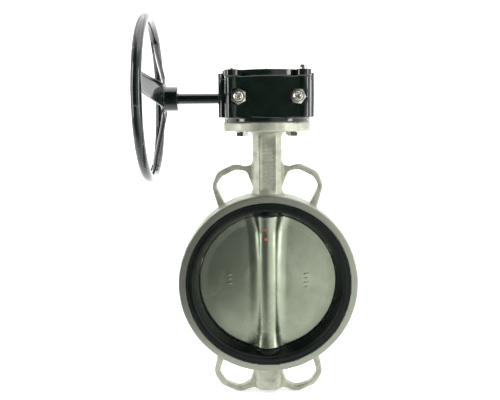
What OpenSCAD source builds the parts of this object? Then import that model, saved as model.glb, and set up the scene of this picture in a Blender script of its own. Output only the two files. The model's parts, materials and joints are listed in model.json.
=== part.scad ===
/* [Waist] */
// Bore of the rubber seat at its waist, the nominal size of the valve
seat_bore = 205; // [150:1:260]
// Thickness of the rubber liner at the waist
liner_t = 7.5; // [6:0.5:12]
// Metal wall of the body ring, from liner to outside
ring_wall = 21; // [16:0.5:26]
// Width of the metal ring along the pipe
ring_w = 58; // [52:1:80]
// How far each rubber lip stands proud of the metal ring
lip_proud = 2; // [0.5:0.5:3]
// Radial width of the rubber lip in front of the ring
lip_w = 9.5; // [9:0.5:14]
// Running gap between the edge of the closed disc and the seat
disc_gap = 0.35; // [0.3:0.05:0.8]
// Gap between the round faces of the liner and the metal
liner_gap = 0.2; // [0.15:0.05:0.4]

/* [Disc] */
// Radius of the stem hub that crosses the disc
hub_r = 18; // [16:0.5:22]
// Radius of the hub where it meets the seat
hub_end_r = 21.5; // [20:0.5:24]
// Radius of the hollow that blends the hub into the plate
hub_blend = 24; // [14:1:30]
// Half thickness of the plate beside the hub
plate_mid = 7.5; // [6:0.5:9]
// Half thickness of the plate at its sealing edge
plate_edge = 5; // [4:0.5:6]
// Polished chamfer of the sealing edge
edge_chamfer = 2; // [1:0.5:3]

/* [Stem] */
// Radius of the stem
stem_r = 11; // [10:0.5:13]
// Width of the square drive at the foot of the stem
drive_w = 15.5; // [13:0.5:16]
// Depth of each stem in the disc hub
stem_in_disc = 42; // [30:1:55]
// Wall of the stem bushes
bush_wall = 3; // [2:0.5:4]
// Running gap between a shaft and its bush
fit_gap = 0.05; // [0.03:0.01:0.1]
// Width of the key between stem and quadrant
key_w = 6; // [5:0.5:8]

/* [Body] */
// Height of the top flange face above the ring
neck_len = 104; // [90:1:140]
// Width across the flats of the neck
neck_w = 42; // [38:1:50]
// Width of the flat panel on each side of the neck
panel_w = 25; // [20:1:28]
// Depth of the cast panels on the neck
panel_deep = 0.8; // [0.4:0.1:1.5]
// Diameter of the top flange
flange_d = 125; // [125:1:150]
// Thickness of the top flange
flange_t = 13; // [10:1:18]
// Bolt circle of the top flange
flange_pcd = 102; // [98:1:108]
// Length of the bottom boss below the ring
boss_len = 35; // [34:1:60]
// Width of the bottom boss
boss_w = 39; // [36:1:46]
// Thickness of the locating loops along the pipe
loop_t = 13; // [10:1:18]

/* [Gearbox] */
// Height of the worm axis above the flange
worm_h = 35; // [32:1:45]
// Height of the housing up to the cover joint
housing_h = 62; // [60:1:80]
// Thickness of the cover
cover_t = 8.7; // [7:0.1:14]
// Thickness of the cover gasket
gasket_t = 0.8; // [0.5:0.1:1.5]
// Wall of the housing around cavity and tunnel
box_wall = 7; // [6:0.5:9]
// How far the worm tunnel stands out beyond the housing on each side
tunnel_step = 15; // [13:0.5:30]
// Gear module
gear_m = 2.5; // [2.5:0.25:3]
// Teeth of the whole wheel that the quadrant is cut from
gear_teeth = 34; // [30:1:36]
// Pitch radius of the worm
worm_r = 15; // [13:0.5:18]
// Length of the worm thread
worm_len = 36; // [30:1:44]
// Backlash on each flank
backlash = 0.15; // [0.1:0.05:0.3]
// Face width of the quadrant
quadrant_w = 16; // [12:1:18]
// Distance of the stop screws from the stem
stop_x = 40; // [38:1:41]
// Radius of the stop screws
stop_r = 6; // [5:0.5:6]
// Radius of the input shaft
shaft_r = 8; // [7:0.5:9]

/* [Handwheel] */
// Radius of the rim, to the middle of its tube
wheel_r = 120; // [90:1:160]
// Radius of the rim tube
rim_r = 8; // [6:0.5:11]
// Distance from the tunnel end to the hub
shaft_free = 61.5; // [45:0.5:90]
// Length of the hub
hub_len = 21; // [18:0.5:32]
// Radius of the wheel hub
wheel_hub_r = 18.5; // [16:0.5:22]
// How far the rim stands out beyond the hub
wheel_dish = 21; // [8:1:40]
// Thickness of the spider plate
spoke_t = 4; // [3:0.5:6]
// Width of a spoke at the rim
spoke_tip_w = 29; // [20:1:34]
// Width of a spoke at the hub
spoke_root_w = 37; // [28:1:40]
// Turn of the handwheel at rest
spoke_phase = 12; // [0:1:119]

/* [Hidden] */
$fn = 96;
eps = 0.01;
// Clearance round everything that is threaded, pinned or held by a screw
bolt_gap = 0.1;

// Radii of the waist, from the seat outwards
seat_r = seat_bore / 2;
metal_r = seat_r + liner_t;
ring_r = metal_r + ring_wall;
ring_edge = 1.5;
lip_r = metal_r + lip_w;
lip_y = ring_w / 2 + lip_proud;
lip_seat_y = ring_w / 2 - 6.5;
rib_h = 3;
rib_w = 16;

// Flats of the seat around the stem, and the closed disc inside them
flat_r = hub_end_r + 4.5;
flat_z = sqrt(pow(seat_r, 2) - pow(flat_r, 2));
pad_top = sqrt(pow(metal_r - 1, 2) - pow(flat_r, 2));
disc_r = seat_r - disc_gap;
disc_z = flat_z - disc_gap;
flare_h = 24;

// Heights of the neck and the flange
flange_z = ring_r + neck_len;
flange_low = flange_z - flange_t;
boss_low = -ring_r - boss_len;
recess_r = 35;
recess_h = 3;
flare_w = 7;
boss_foot = 3;
bush_r = stem_r + fit_gap + bush_wall;
bolt_r = 5;
bolt_af = 16;
bolt_head = 6.4;

// Bushes along the stem
upper_bush_len = 27;
upper_bush_z = flange_z - recess_h - 1 - upper_bush_len;
neck_bush_len = 28;
neck_bush_z = metal_r + rib_h + 0.5;
lower_bush_len = 34;
lower_bush_z = -neck_bush_z - lower_bush_len;
o_ring_t = 1.7;
o_ring_zs = [neck_bush_z + neck_bush_len + 12, neck_bush_z + neck_bush_len + 22];
clip_z = flange_z - recess_h + 0.3;
clip_t = 1.5;
plug_h = 15;
plug_groove_z = boss_low + plug_h - 4;

// Heights inside the gearbox
gear_z = flange_z + worm_h;
floor_z = flange_z + 10;
joint_z = flange_z + housing_h;
cover_low = joint_z + gasket_t;
cover_top = cover_low + cover_t;
base_h = 6;
journal_r = stem_r + 6;
journal_bush_r = journal_r + 3;
quadrant_hub_r = journal_r + 5;
key_deep = 3.5;
key_len = 32;

// Worm gearing
gear_pitch_r = gear_m * gear_teeth / 2;
gear_tip_r = gear_pitch_r + gear_m;
gear_root_r = gear_pitch_r - 1.25 * gear_m;
worm_tip_r = worm_r + gear_m;
worm_root_r = worm_r - 1.25 * gear_m;
worm_y = gear_pitch_r + worm_r;
worm_pitch = PI * gear_m;
worm_lead = atan(gear_m / (2 * worm_r));
pressure = 20;
tooth_half = worm_pitch / 4 - backlash;
quadrant_rest = -45;
tooth_step = 360 / gear_teeth;
tunnel_r = worm_tip_r + 1.5;
cavity_r = gear_tip_r + 4;
stop_face = 13;
stop_touch = 0.15;

// Outline of the gearbox
housing_half = cavity_r + box_wall + 1;
tunnel_half = housing_half + tunnel_step;
front_y = -(cavity_r + box_wall + 1.5);
pillar_x = housing_half - 8.5;
pillar_y = front_y + 8.5;
pillar_r = 10;
rear_y = worm_y + tunnel_r + box_wall;
shoulder_y = worm_y - tunnel_r - box_wall;
lid_r = -front_y + 3.5;
ear_r = 11;
rear_inset = 10;
screw_spots = [[-pillar_x, pillar_y], [pillar_x, pillar_y],
    [rear_inset - tunnel_half, rear_y - rear_inset], [tunnel_half - rear_inset, rear_y - rear_inset]];

// Screws of the gearbox
screw_r = 3;
screw_deep = 9;
washer_r = 6;
washer_t = 2;
nut_af = 19;
nut_h = 6;
stop_out = 8;

// Tunnel of the worm: end cap, seal and the sleeves between them
cap_t = 9;
seal_r = 14;
seal_t = 8;
sleeve_near = max(worm_len / 2 + 4, sqrt(pow(gear_tip_r, 2) - pow(worm_y - tunnel_r, 2)) + 1.5);
sleeve_far = tunnel_half - cap_t - 1;

// Cover and indicator
dial_r = 35;
dial_t = 1.6;
dial_neck_r = 14;

// Handwheel along the worm axis
shaft_out = -tunnel_half - shaft_free;
hub_far = shaft_out - hub_len;
rim_x = hub_far - wheel_dish - spoke_t / 2;
spider_hub_r = wheel_hub_r + 2.5;
pin_r = 3;

// Rounded outline from corners given as [x, y, radius]
function unit(v) = v / norm(v);
function corner(p, q, s) =
    let (a = unit([p[0] - q[0], p[1] - q[1]]), b = unit([s[0] - q[0], s[1] - q[1]]),
        half = acos(max(-1, min(1, a * b))) / 2, m = unit(a + b),
        c = [q[0], q[1]] + m * q[2] / sin(half), t = q[2] / tan(half),
        u = [q[0], q[1]] + a * t - c, v = [q[0], q[1]] + b * t - c,
        steps = max(2, ceil((180 - 2 * half) / 12)))
    [for (i = [0 : steps]) let (w = u * (1 - i / steps) + v * (i / steps)) c + unit(w) * q[2]];
function rounded(pts) = let (n = len(pts))
    [for (i = [0 : n - 1]) each pts[i][2] > 0
        ? corner(pts[(i + n - 1) % n], pts[i], pts[(i + 1) % n]) : [[pts[i][0], pts[i][1]]]];

// Octagon with flat panels of a given width on all four sides
function octagon(w, p) = [[w, p], [p, w], [-p, w], [-w, p], [-w, -p], [-p, -w], [p, -w], [w, -p]] / 2;

// Involute half angle of a tooth at a radius, in degrees
function inv(a) = tan(a) * 180 / PI - a;
function tooth_angle(r) = tooth_half / gear_pitch_r * 180 / PI + inv(pressure)
    - inv(acos(min(1, gear_pitch_r * cos(pressure) / r)));

module flange_bolts() {
    for (a = [45 : 90 : 315]) rotate(a) translate([flange_pcd / 2, 0, 0]) children();
}
module at_screws() { for (p = screw_spots) translate([p[0], p[1], 0]) children(); }
module at_stops() {
    for (side = [-1, 1]) translate([side * stop_x, 0, gear_z]) rotate([90, 0, 0]) children();
}
module pipe_axis() { rotate([90, 0, 0]) children(); }
module worm_axis() { translate([0, worm_y, gear_z]) rotate([0, 90, 0]) children(); }
module both_ends() { for (turn = [0, 180]) rotate([turn, 0, 0]) children(); }
module mirrored_x() { children(); mirror([1, 0, 0]) children(); }

module tube(z, h, outer, inner) {
    translate([0, 0, z]) difference() {
        cylinder(r = outer, h = h);
        translate([0, 0, -1]) cylinder(r = inner, h = h + 2);
    }
}

module rod(z, h, r) { translate([0, 0, z]) cylinder(r = r, h = h); }

module torus(ring, wire) { rotate_extrude() translate([ring, 0]) circle(r = wire, $fn = 32); }

module hexagon(af, h) { cylinder(r = af / 2 / cos(30), h = h, $fn = 6); }

// Valve

// Loop above the ring beside the neck, in the plane x, z from the ring top
module upper_loop_outline() {
    difference() {
        polygon(rounded([[0, 54, 0], [20, 54, 0], [22, 42.5, 9], [33, 39.5, 12], [46, 45, 20],
            [74, 31.5, 16], [81.5, 11.5, 16], [72, -22, 0], [60, -60, 0], [0, -30, 0]]));
        polygon(rounded([[30.5, 33, 9], [46, 35.2, 12], [66.5, 25, 12], [75, 12, 10], [66, -6, 9],
            [50, -40, 0], [32, -40, 0], [20.5, 6, 14]]));
    }
}

// Loop below the ring beside the boss
module lower_loop_outline() {
    difference() {
        polygon(rounded([[0, 34.5, 0], [15, 34.5, 6], [23, 34, 8], [43, 41, 18], [71.5, 29, 15],
            [82.5, 9, 17], [74, -29, 0], [60, -60, 0], [0, -30, 0]]));
        polygon(rounded([[27.5, 25, 9], [43, 33.2, 12], [63.5, 25, 11], [73.5, 10, 10],
            [67.5, -10, 9], [50, -40, 0], [32, -40, 0], [21.5, 7, 10]]));
    }
}

module neck_blend(z, h, r1, r2) { translate([0, 0, z]) cylinder(r1 = r1, r2 = r2, h = h); }

module ring_shell() {
    half = ring_w / 2;
    inside = metal_r - 6;
    pipe_axis() rotate_extrude() polygon([[inside, 8 - half], [inside, half - 8],
        [lip_r - 2, half], [ring_r - ring_edge, half], [ring_r, half - ring_edge],
        [ring_r, ring_edge - half], [ring_r - ring_edge, -half], [lip_r - 2, -half]]);
}

module liner_space() {
    pipe_axis() rotate_extrude() polygon([[0, -ring_w], [lip_r, -ring_w], [lip_r, -lip_seat_y],
        [metal_r, -lip_seat_y], [metal_r, -rib_w / 2], [metal_r + rib_h, -rib_w / 2],
        [metal_r + rib_h, rib_w / 2], [metal_r, rib_w / 2], [metal_r, lip_seat_y],
        [lip_r, lip_seat_y], [lip_r, ring_w], [0, ring_w]]);
}

module neck_panels(low, high, w, at_y) {
    for (side = [-1, 1])
        translate([-w / 2, side * at_y - panel_deep, low]) cube([w, 2 * panel_deep, high - low]);
}

module valve_body() {
    color([0.72, 0.74, 0.68]) difference() {
        union() {
            ring_shell();
            translate([0, 0, metal_r + rib_h + 1])
                linear_extrude(flange_low - metal_r - rib_h) polygon(octagon(neck_w, panel_w));
            neck_blend(flange_low - 6, 6 + eps, neck_w / 2, neck_w / 2 + flare_w);
            neck_blend(ring_r - 8, 16, neck_w / 2 + flare_w, neck_w / 2);
            rod(flange_low, flange_t, flange_d / 2);
            translate([0, 0, boss_low + boss_foot]) linear_extrude(boss_len + 8)
                polygon(octagon(boss_w, boss_w - 10));
            translate([0, 0, boss_low]) linear_extrude(boss_foot + 1)
                polygon(octagon(boss_w - 7, boss_w - 15));
            mirrored_x() translate([0, loop_t / 2, ring_r]) rotate([90, 0, 0])
                linear_extrude(loop_t) upper_loop_outline();
            mirrored_x() translate([0, -loop_t / 2, -ring_r]) rotate([-90, 0, 0])
                linear_extrude(loop_t) lower_loop_outline();
        }
        liner_space();
        neck_panels(ring_r + 6, flange_low - 8, panel_w - 5, neck_w / 2);
        rod(metal_r - 5, flange_z, stem_r + 0.5);
        rod(metal_r - 5, neck_bush_z + neck_bush_len - metal_r + 5, bush_r);
        rod(upper_bush_z, flange_z, bush_r);
        rod(flange_z - recess_h, recess_h + 1, recess_r + bolt_gap);
        rod(boss_low - 1, -metal_r + 5 - boss_low, bush_r);
        for (z = o_ring_zs) rod(z - 2, 4, stem_r + fit_gap + 2 * o_ring_t);
        flange_bolts() rod(flange_low - 1, flange_t + 2, bolt_r + 0.5);
    }
}

module seat_liner() {
    lip = lip_r - liner_gap;
    back = metal_r - liner_gap;
    rib = back + rib_h;
    color([0.09, 0.13, 0.11]) difference() {
        union() {
            pipe_axis() rotate_extrude() polygon(rounded([[seat_r, 0, 0], [seat_r, 13, 6],
                [seat_r + 5, lip_y - 3.5, 5], [seat_r + 7.5, lip_y, 4], [lip - 0.8, lip_y, 0],
                [lip, lip_y - 0.8, 0], [lip, lip_seat_y, 0], [back, lip_seat_y, 0],
                [back, rib_w / 2, 0], [rib, rib_w / 2, 0], [rib, -rib_w / 2, 0], [back, -rib_w / 2, 0],
                [back, -lip_seat_y, 0], [lip, -lip_seat_y, 0], [lip, 0.8 - lip_y, 0],
                [lip - 0.8, -lip_y, 0], [seat_r + 7.5, -lip_y, 4], [seat_r + 5, 3.5 - lip_y, 5],
                [seat_r, -13, 6]]));
            both_ends() rod(flat_z, pad_top - flat_z, flat_r - 0.5);
        }
        rod(-metal_r * 2, metal_r * 4, stem_r + fit_gap);
    }
}

// Hollow between the hub and the plate on one side
function blend_points() =
    let (cy = plate_mid + hub_blend, cx = sqrt(pow(hub_r + hub_blend, 2) - pow(cy, 2)),
        last = -180 + atan(cy / cx))
    [for (i = [0 : 8]) let (a = -90 + (last + 90) * i / 8)
        [cx + hub_blend * cos(a), cy + hub_blend * sin(a)]];

module disc() {
    reach = seat_r + 5;
    color([0.50, 0.53, 0.48]) difference() {
        intersection() {
            union() {
                pipe_axis() rotate_extrude() polygon([[0, -plate_mid], [36, -plate_mid],
                    [disc_r - 12, -plate_edge], [disc_r - edge_chamfer, -plate_edge],
                    [disc_r + 0.6, edge_chamfer - plate_edge + 0.6],
                    [disc_r + 0.6, plate_edge - edge_chamfer - 0.6],
                    [disc_r - edge_chamfer, plate_edge], [disc_r - 12, plate_edge],
                    [36, plate_mid], [0, plate_mid]]);
                rod(-reach, 2 * reach, hub_r);
                mirrored_x() both_ends() translate([0, 0, -reach])
                    linear_extrude(2 * reach) polygon(concat([[0, 0], [blend_points()[0][0], 0]],
                        blend_points()));
                both_ends() translate([0, 0, disc_z - flare_h])
                    cylinder(r1 = hub_r - 0.5, r2 = hub_end_r, h = flare_h + 3);
            }
            sphere(r = disc_r, $fn = 180);
            translate([-reach, -reach, -disc_z]) cube([2 * reach, 2 * reach, 2 * disc_z]);
        }
        rod(-reach, reach - disc_z + stem_in_disc + 0.5, stem_r + fit_gap);
        translate([-drive_w / 2 - fit_gap, -drive_w / 2 - fit_gap, disc_z - stem_in_disc - 0.5])
            cube([drive_w + 2 * fit_gap, drive_w + 2 * fit_gap, 2 * stem_in_disc]);
    }
}

module upper_stem() {
    foot = disc_z - stem_in_disc;
    top = cover_low + 3;
    color([0.68, 0.70, 0.66]) difference() {
        union() {
            rod(disc_z + 1, top - disc_z - 1, stem_r);
            intersection() {
                rod(foot, disc_z + 2 - foot, stem_r);
                translate([-drive_w / 2, -drive_w / 2, foot]) cube([drive_w, drive_w, disc_z + 2 - foot]);
            }
        }
        tube(clip_z - 0.1, clip_t + 0.2, stem_r + 5, stem_r - 1);
        rotate(quadrant_rest) translate([-key_w / 2, stem_r - key_deep, gear_z - key_len / 2 - 1])
            cube([key_w, 10, key_len + 2]);
        rod(top - 14, 15, screw_r + bolt_gap);
    }
}

module lower_stem() {
    low = lower_bush_z - 1;
    color([0.68, 0.70, 0.66]) rod(low, -disc_z + stem_in_disc - low, stem_r);
}

module upper_stem_bush() {
    color([0.72, 0.56, 0.30]) tube(upper_bush_z, upper_bush_len, bush_r, stem_r + fit_gap);
}

module neck_bush() {
    color([0.72, 0.56, 0.30]) tube(neck_bush_z, neck_bush_len, bush_r, stem_r + fit_gap);
}

module lower_stem_bush() {
    color([0.72, 0.56, 0.30]) tube(lower_bush_z, lower_bush_len, bush_r, stem_r + fit_gap);
}

module stem_o_rings() {
    color([0.06, 0.06, 0.06]) for (z = o_ring_zs)
        translate([0, 0, z]) torus(stem_r + fit_gap + o_ring_t, o_ring_t);
}

module stem_retaining_ring() {
    color([0.45, 0.46, 0.47]) difference() {
        tube(clip_z, clip_t, stem_r + 2.5, stem_r - 1);
        translate([0, -2.5, clip_z - 1]) cube([30, 5, clip_t + 2]);
    }
}

module bottom_plug() {
    color([0.68, 0.70, 0.66]) difference() {
        rod(boss_low, plug_h, bush_r - bolt_gap / 2);
        tube(plug_groove_z - 1.6, 3.2, bush_r + 1, bush_r - 2.8);
        translate([0, 0, boss_low - 1]) hexagon(10, 8);
    }
}

module plug_o_ring() {
    color([0.06, 0.06, 0.06]) translate([0, 0, plug_groove_z]) torus(bush_r - 1.45, 1.35);
}

// Gearbox

module housing_outline() {
    polygon(rounded([[-housing_half, front_y, 8], [housing_half, front_y, 8],
        [housing_half, shoulder_y, 5], [tunnel_half, shoulder_y, 9], [tunnel_half, rear_y, 9],
        [-tunnel_half, rear_y, 9], [-tunnel_half, shoulder_y, 9], [-housing_half, shoulder_y, 5]]));
    for (side = [-1, 1]) translate([side * pillar_x, pillar_y]) circle(r = pillar_r);
}

module cover_outline() {
    circle(r = lid_r);
    for (side = [-1, 1]) translate([side * pillar_x, pillar_y]) circle(r = ear_r);
    translate([0, (shoulder_y + rear_y) / 2])
        polygon(rounded([for (p = [[-1, -1], [1, -1], [1, 1], [-1, 1]])
            [p[0] * tunnel_half, p[1] * (rear_y - shoulder_y) / 2, 10]]));
}

module gearbox_housing() {
    color([0.05, 0.06, 0.055]) difference() {
        union() {
            translate([0, 0, flange_z + base_h])
                linear_extrude(joint_z - flange_z - base_h) housing_outline();
            rod(flange_z, base_h + 1, flange_d / 2);
            translate([-tunnel_half + 10, shoulder_y + 3, flange_z + 3])
                cube([2 * tunnel_half - 20, rear_y - shoulder_y - 9, 6]);
            rod(flange_z - recess_h + 0.5, recess_h, recess_r);
        }
        rod(floor_z, housing_h, cavity_r);
        worm_axis() rod(cap_t - tunnel_half, 2 * tunnel_half, tunnel_r);
        worm_axis() rod(-tunnel_half - 1, 30, seal_r + bolt_gap);
        rod(flange_z - recess_h, 20, journal_bush_r);
        at_stops() rod(5, -front_y, stop_r + bolt_gap);
        at_stops() rod(-front_y, 10, nut_af / 2 / cos(30) + 0.6);
        at_screws() rod(joint_z - screw_deep - 1, 20, screw_r + bolt_gap);
        flange_bolts() rod(flange_z - 1, 10, bolt_r + bolt_gap);
    }
}

module gearbox_cover() {
    color([0.05, 0.06, 0.055]) difference() {
        union() {
            translate([0, 0, cover_low]) linear_extrude(cover_t) cover_outline();
            rod(cover_low, cover_t + 1, dial_r + 7);
        }
        rod(cover_low - 1, 5, journal_bush_r);
        rod(cover_low, cover_t + 5, dial_neck_r + 2.1);
        rod(cover_top - 0.2, 5, dial_r + bolt_gap);
        at_screws() rod(cover_low - 1, 30, screw_r + 0.4);
    }
}

module cover_gasket() {
    color([0.16, 0.15, 0.13]) translate([0, 0, joint_z]) difference() {
        linear_extrude(gasket_t) intersection() {
            cover_outline();
            housing_outline();
        }
        translate([0, 0, -1]) cylinder(r = cavity_r, h = gasket_t + 2);
        at_screws() rod(-1, gasket_t + 2, screw_r + 0.4);
    }
}

module cover_screws() {
    seat = cover_top + washer_t;
    color([0.60, 0.61, 0.58]) at_screws() {
        rod(joint_z - screw_deep, seat - joint_z + screw_deep + eps, screw_r);
        translate([0, 0, seat]) hexagon(10, 4);
    }
}

module cover_washers() {
    color([0.66, 0.67, 0.64]) at_screws() tube(cover_top, washer_t, washer_r, screw_r + bolt_gap);
}

// One worm wheel tooth, pointing along +Y and leaning with the worm's lead
module tooth() {
    radii = [for (i = [0 : 4]) gear_root_r - 1 + (gear_tip_r - gear_root_r + 1) * i / 4];
    foot_r = gear_pitch_r * cos(pressure);
    sides = [for (r = radii) let (a = tooth_angle(max(r, foot_r))) r * [sin(a), cos(a)]];
    translate([0, 0, gear_z]) translate([0, gear_pitch_r, 0]) rotate([0, worm_lead, 0])
        translate([0, -gear_pitch_r, -quadrant_w / 2]) linear_extrude(quadrant_w)
            polygon(concat(sides, [for (i = [4 : -1 : 0]) [-sides[i][0], sides[i][1]]]));
}

// Everything on the toothed side of one flat that meets a stop screw
module stop_side(turn) {
    reach = 3 * gear_tip_r;
    rotate(turn) translate([-reach / 2, -stop_face, gear_z - reach / 2]) cube(reach);
}

module quadrant_gear() {
    hub_low = floor_z + 0.2;
    hub_high = joint_z - 0.5;
    color([0.42, 0.40, 0.36]) rotate(quadrant_rest) difference() {
        union() {
            intersection() {
                union() {
                    rod(gear_z - quadrant_w / 2, quadrant_w, gear_root_r);
                    for (k = [-5 : 5]) rotate(k * tooth_step) tooth();
                }
                stop_side(45);
                stop_side(-45);
            }
            rod(hub_low, hub_high - hub_low, quadrant_hub_r);
            rod(flange_z + 0.5, cover_low + 3 - flange_z - 0.5, journal_r);
        }
        rod(0, 2 * cover_top, stem_r);
        translate([-key_w / 2, 0, gear_z - key_len / 2]) cube([key_w, stem_r + 2.5, 200]);
    }
}

module stem_key() {
    color([0.55, 0.55, 0.52]) rotate(quadrant_rest)
        translate([-key_w / 2, stem_r - key_deep, gear_z - key_len / 2]) cube([key_w, 6, key_len]);
}

module quadrant_lower_bush() {
    color([0.72, 0.56, 0.30]) tube(flange_z + 0.5, floor_z - flange_z - 0.5, journal_bush_r,
        journal_r + fit_gap);
}

module quadrant_upper_bush() {
    color([0.72, 0.56, 0.30]) tube(cover_low, 4, journal_bush_r, journal_r + fit_gap);
}

// Radius of the worm thread at an angle from its crest, in a slice across the axis
function thread_r(a) =
    let (along = worm_pitch * abs(a) / 360, tip = tooth_half - gear_m * tan(pressure))
    max(worm_root_r, min(worm_tip_r, worm_tip_r - (along - tip) / tan(pressure)));

module worm() {
    turns = worm_len / worm_pitch;
    crest = 90 - 360 * quadrant_rest / tooth_step;
    color([0.45, 0.45, 0.43]) worm_axis() difference() {
        union() {
            rotate(crest) translate([0, 0, -worm_len / 2])
                linear_extrude(worm_len, twist = 360 * turns, slices = ceil(18 * turns), $fn = 24)
                    rotate(180 * turns) polygon([for (a = [-180 : 15 : 165]) thread_r(a) * [cos(a), sin(a)]]);
            both_ends() rod(worm_len / 2 - 1, sleeve_near - 0.3 - worm_len / 2 + 1, worm_root_r - 0.5);
        }
        cylinder(r = shaft_r, h = 2 * sleeve_near, center = true);
        worm_pin_shape();
    }
}

module worm_pin_shape() {
    translate([0, 0, (worm_len / 2 + sleeve_near) / 2]) rotate([90, 0, 0])
        cylinder(r = 1.5, h = 2 * worm_root_r - 2, center = true);
}

module input_shaft() {
    far = hub_far + 1;
    near = tunnel_half - cap_t - 5;
    color([0.07, 0.08, 0.075]) difference() {
        translate([0, worm_y, gear_z]) rotate([0, 90, 0]) rod(far, near - far, shaft_r);
        worm_axis() worm_pin_shape();
        handwheel_pin_shape(pin_r);
    }
}

module worm_pin() { color([0.55, 0.55, 0.52]) worm_axis() worm_pin_shape(); }

module worm_bush(side) {
    color([0.72, 0.56, 0.30]) translate([0, worm_y, gear_z]) rotate([0, side * 90, 0])
        tube(sleeve_near, sleeve_far - sleeve_near, tunnel_r, shaft_r + fit_gap);
}

module left_worm_bush() { worm_bush(-1); }
module right_worm_bush() { worm_bush(1); }

module tunnel_end_cap() {
    color([0.05, 0.06, 0.055]) worm_axis() rod(tunnel_half - cap_t, cap_t, tunnel_r);
}

module input_shaft_seal() {
    color([0.06, 0.06, 0.06]) worm_axis()
        tube(0.5 - tunnel_half, seal_t, seal_r, shaft_r + fit_gap);
}

module stop_screw(side) {
    tip = stop_face + stop_touch;
    color([0.70, 0.71, 0.68]) translate([side * stop_x, 0, gear_z]) rotate([90, 0, 0]) difference() {
        rod(tip, stop_out - front_y - tip, stop_r);
        translate([0, 0, stop_out - front_y - 6]) hexagon(6, 7);
    }
}

module closed_stop_screw() { stop_screw(1); }
module open_stop_screw() { stop_screw(-1); }

module stop_lock_nuts() {
    wide = nut_af / 2 + nut_h - 1;
    color([0.74, 0.75, 0.72]) at_stops() translate([0, 0, -front_y]) difference() {
        intersection() {
            hexagon(nut_af, nut_h);
            cylinder(r1 = nut_af / 2 + 0.7, r2 = wide, h = nut_h);
            cylinder(r1 = wide, r2 = nut_af / 2 + 0.3, h = nut_h);
        }
        rod(-1, nut_h + 2, stop_r + bolt_gap / 2);
    }
}

// Indicator

module position_indicator() {
    color([0.06, 0.07, 0.065]) difference() {
        union() {
            rod(cover_top - 0.1, dial_t, dial_r);
            rod(cover_low + 3.2, cover_t - 3.2, dial_neck_r);
            translate([0, 0, cover_top + dial_t - 0.2]) linear_extrude(0.8)
                polygon([[-28, 3], [-28, -3], [12, -3], [12, -8], [27, 0], [12, 8], [12, 3]]);
        }
        rod(cover_low, cover_t + 10, screw_r + bolt_gap);
    }
}

module indicator_screw() {
    low = cover_low - 9;
    seat = cover_top + dial_t + 0.7;
    color([0.66, 0.67, 0.64]) difference() {
        union() {
            rod(low, seat - low, screw_r);
            rod(seat - eps, 2.4, 5);
        }
        translate([0, 0, seat + 0.9]) hexagon(4, 3);
    }
}

module indicator_seal() {
    color([0.06, 0.06, 0.06]) translate([0, 0, cover_top - 2.2]) torus(dial_neck_r + 1.1, 1);
}

// Fasteners

module mounting_bolts() {
    color([0.62, 0.66, 0.66]) flange_bolts() {
        rod(flange_low - eps, flange_t + 8.5, bolt_r);
        translate([0, 0, flange_low - bolt_head]) hexagon(bolt_af, bolt_head);
    }
}

// Handwheel

module handwheel_pin_shape(r) {
    translate([shaft_out - 9, worm_y, gear_z]) rotate([-spoke_phase, 0, 0])
        cylinder(r = r, h = 2 * wheel_hub_r - 1, center = true);
}

module handwheel_hub() {
    color([0.05, 0.06, 0.055]) difference() {
        translate([0, worm_y, gear_z]) rotate([0, 90, 0]) rod(hub_far, hub_len, wheel_hub_r);
        translate([0, worm_y, gear_z]) rotate([0, 90, 0]) rod(hub_far + 1, hub_len + 1, shaft_r);
        handwheel_pin_shape(pin_r);
    }
}

// Side of one spoke: along x from the hub end, y outwards from the wheel axis
module spoke_side() {
    rim_in = wheel_r - rim_r + 3;
    polygon([[0, 0], [0, wheel_hub_r + 0.5], [1 - wheel_dish, rim_in],
        [-wheel_dish - spoke_t + 1, rim_in], [-spoke_t, spider_hub_r], [-spoke_t, 0]]);
}

module spoke() {
    intersection() {
        translate([0, 0, -spoke_root_w]) linear_extrude(2 * spoke_root_w) mirror([0, 1, 0]) spoke_side();
        rotate([0, -90, 0]) linear_extrude(4 * wheel_dish, center = true)
            polygon([[-spoke_root_w / 2, 0], [-spoke_root_w / 2, -wheel_hub_r],
                [-spoke_tip_w / 2, -wheel_r], [spoke_tip_w / 2, -wheel_r],
                [spoke_root_w / 2, -wheel_hub_r], [spoke_root_w / 2, 0]]);
    }
}

module handwheel_spider() {
    color([0.05, 0.06, 0.055]) translate([hub_far, worm_y, gear_z]) difference() {
        union() {
            for (a = [0, 120, 240]) rotate([-spoke_phase - a, 0, 0]) spoke();
            rotate([0, -90, 0]) cylinder(r = spider_hub_r, h = spoke_t);
        }
        translate([rim_x - hub_far, 0, 0]) rotate([0, 90, 0]) torus(wheel_r, rim_r);
    }
}

module handwheel_rim() {
    color([0.05, 0.06, 0.055]) translate([rim_x, worm_y, gear_z]) rotate([0, 90, 0]) torus(wheel_r, rim_r);
}

module handwheel_pin() { color([0.55, 0.55, 0.52]) handwheel_pin_shape(pin_r); }

valve_body();
seat_liner();
disc();
upper_stem();
lower_stem();
upper_stem_bush();
neck_bush();
lower_stem_bush();
stem_o_rings();
stem_retaining_ring();
bottom_plug();
plug_o_ring();
stem_key();
gearbox_housing();
gearbox_cover();
cover_gasket();
cover_screws();
cover_washers();
quadrant_gear();
quadrant_lower_bush();
quadrant_upper_bush();
worm();
input_shaft();
worm_pin();
left_worm_bush();
right_worm_bush();
tunnel_end_cap();
input_shaft_seal();
closed_stop_screw();
open_stop_screw();
stop_lock_nuts();
position_indicator();
indicator_screw();
indicator_seal();
mounting_bolts();
handwheel_hub();
handwheel_spider();
handwheel_rim();
handwheel_pin();
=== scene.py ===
import bpy
import bmesh
import json
import math
import numpy as np
from mathutils import Matrix, Vector, noise


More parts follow.
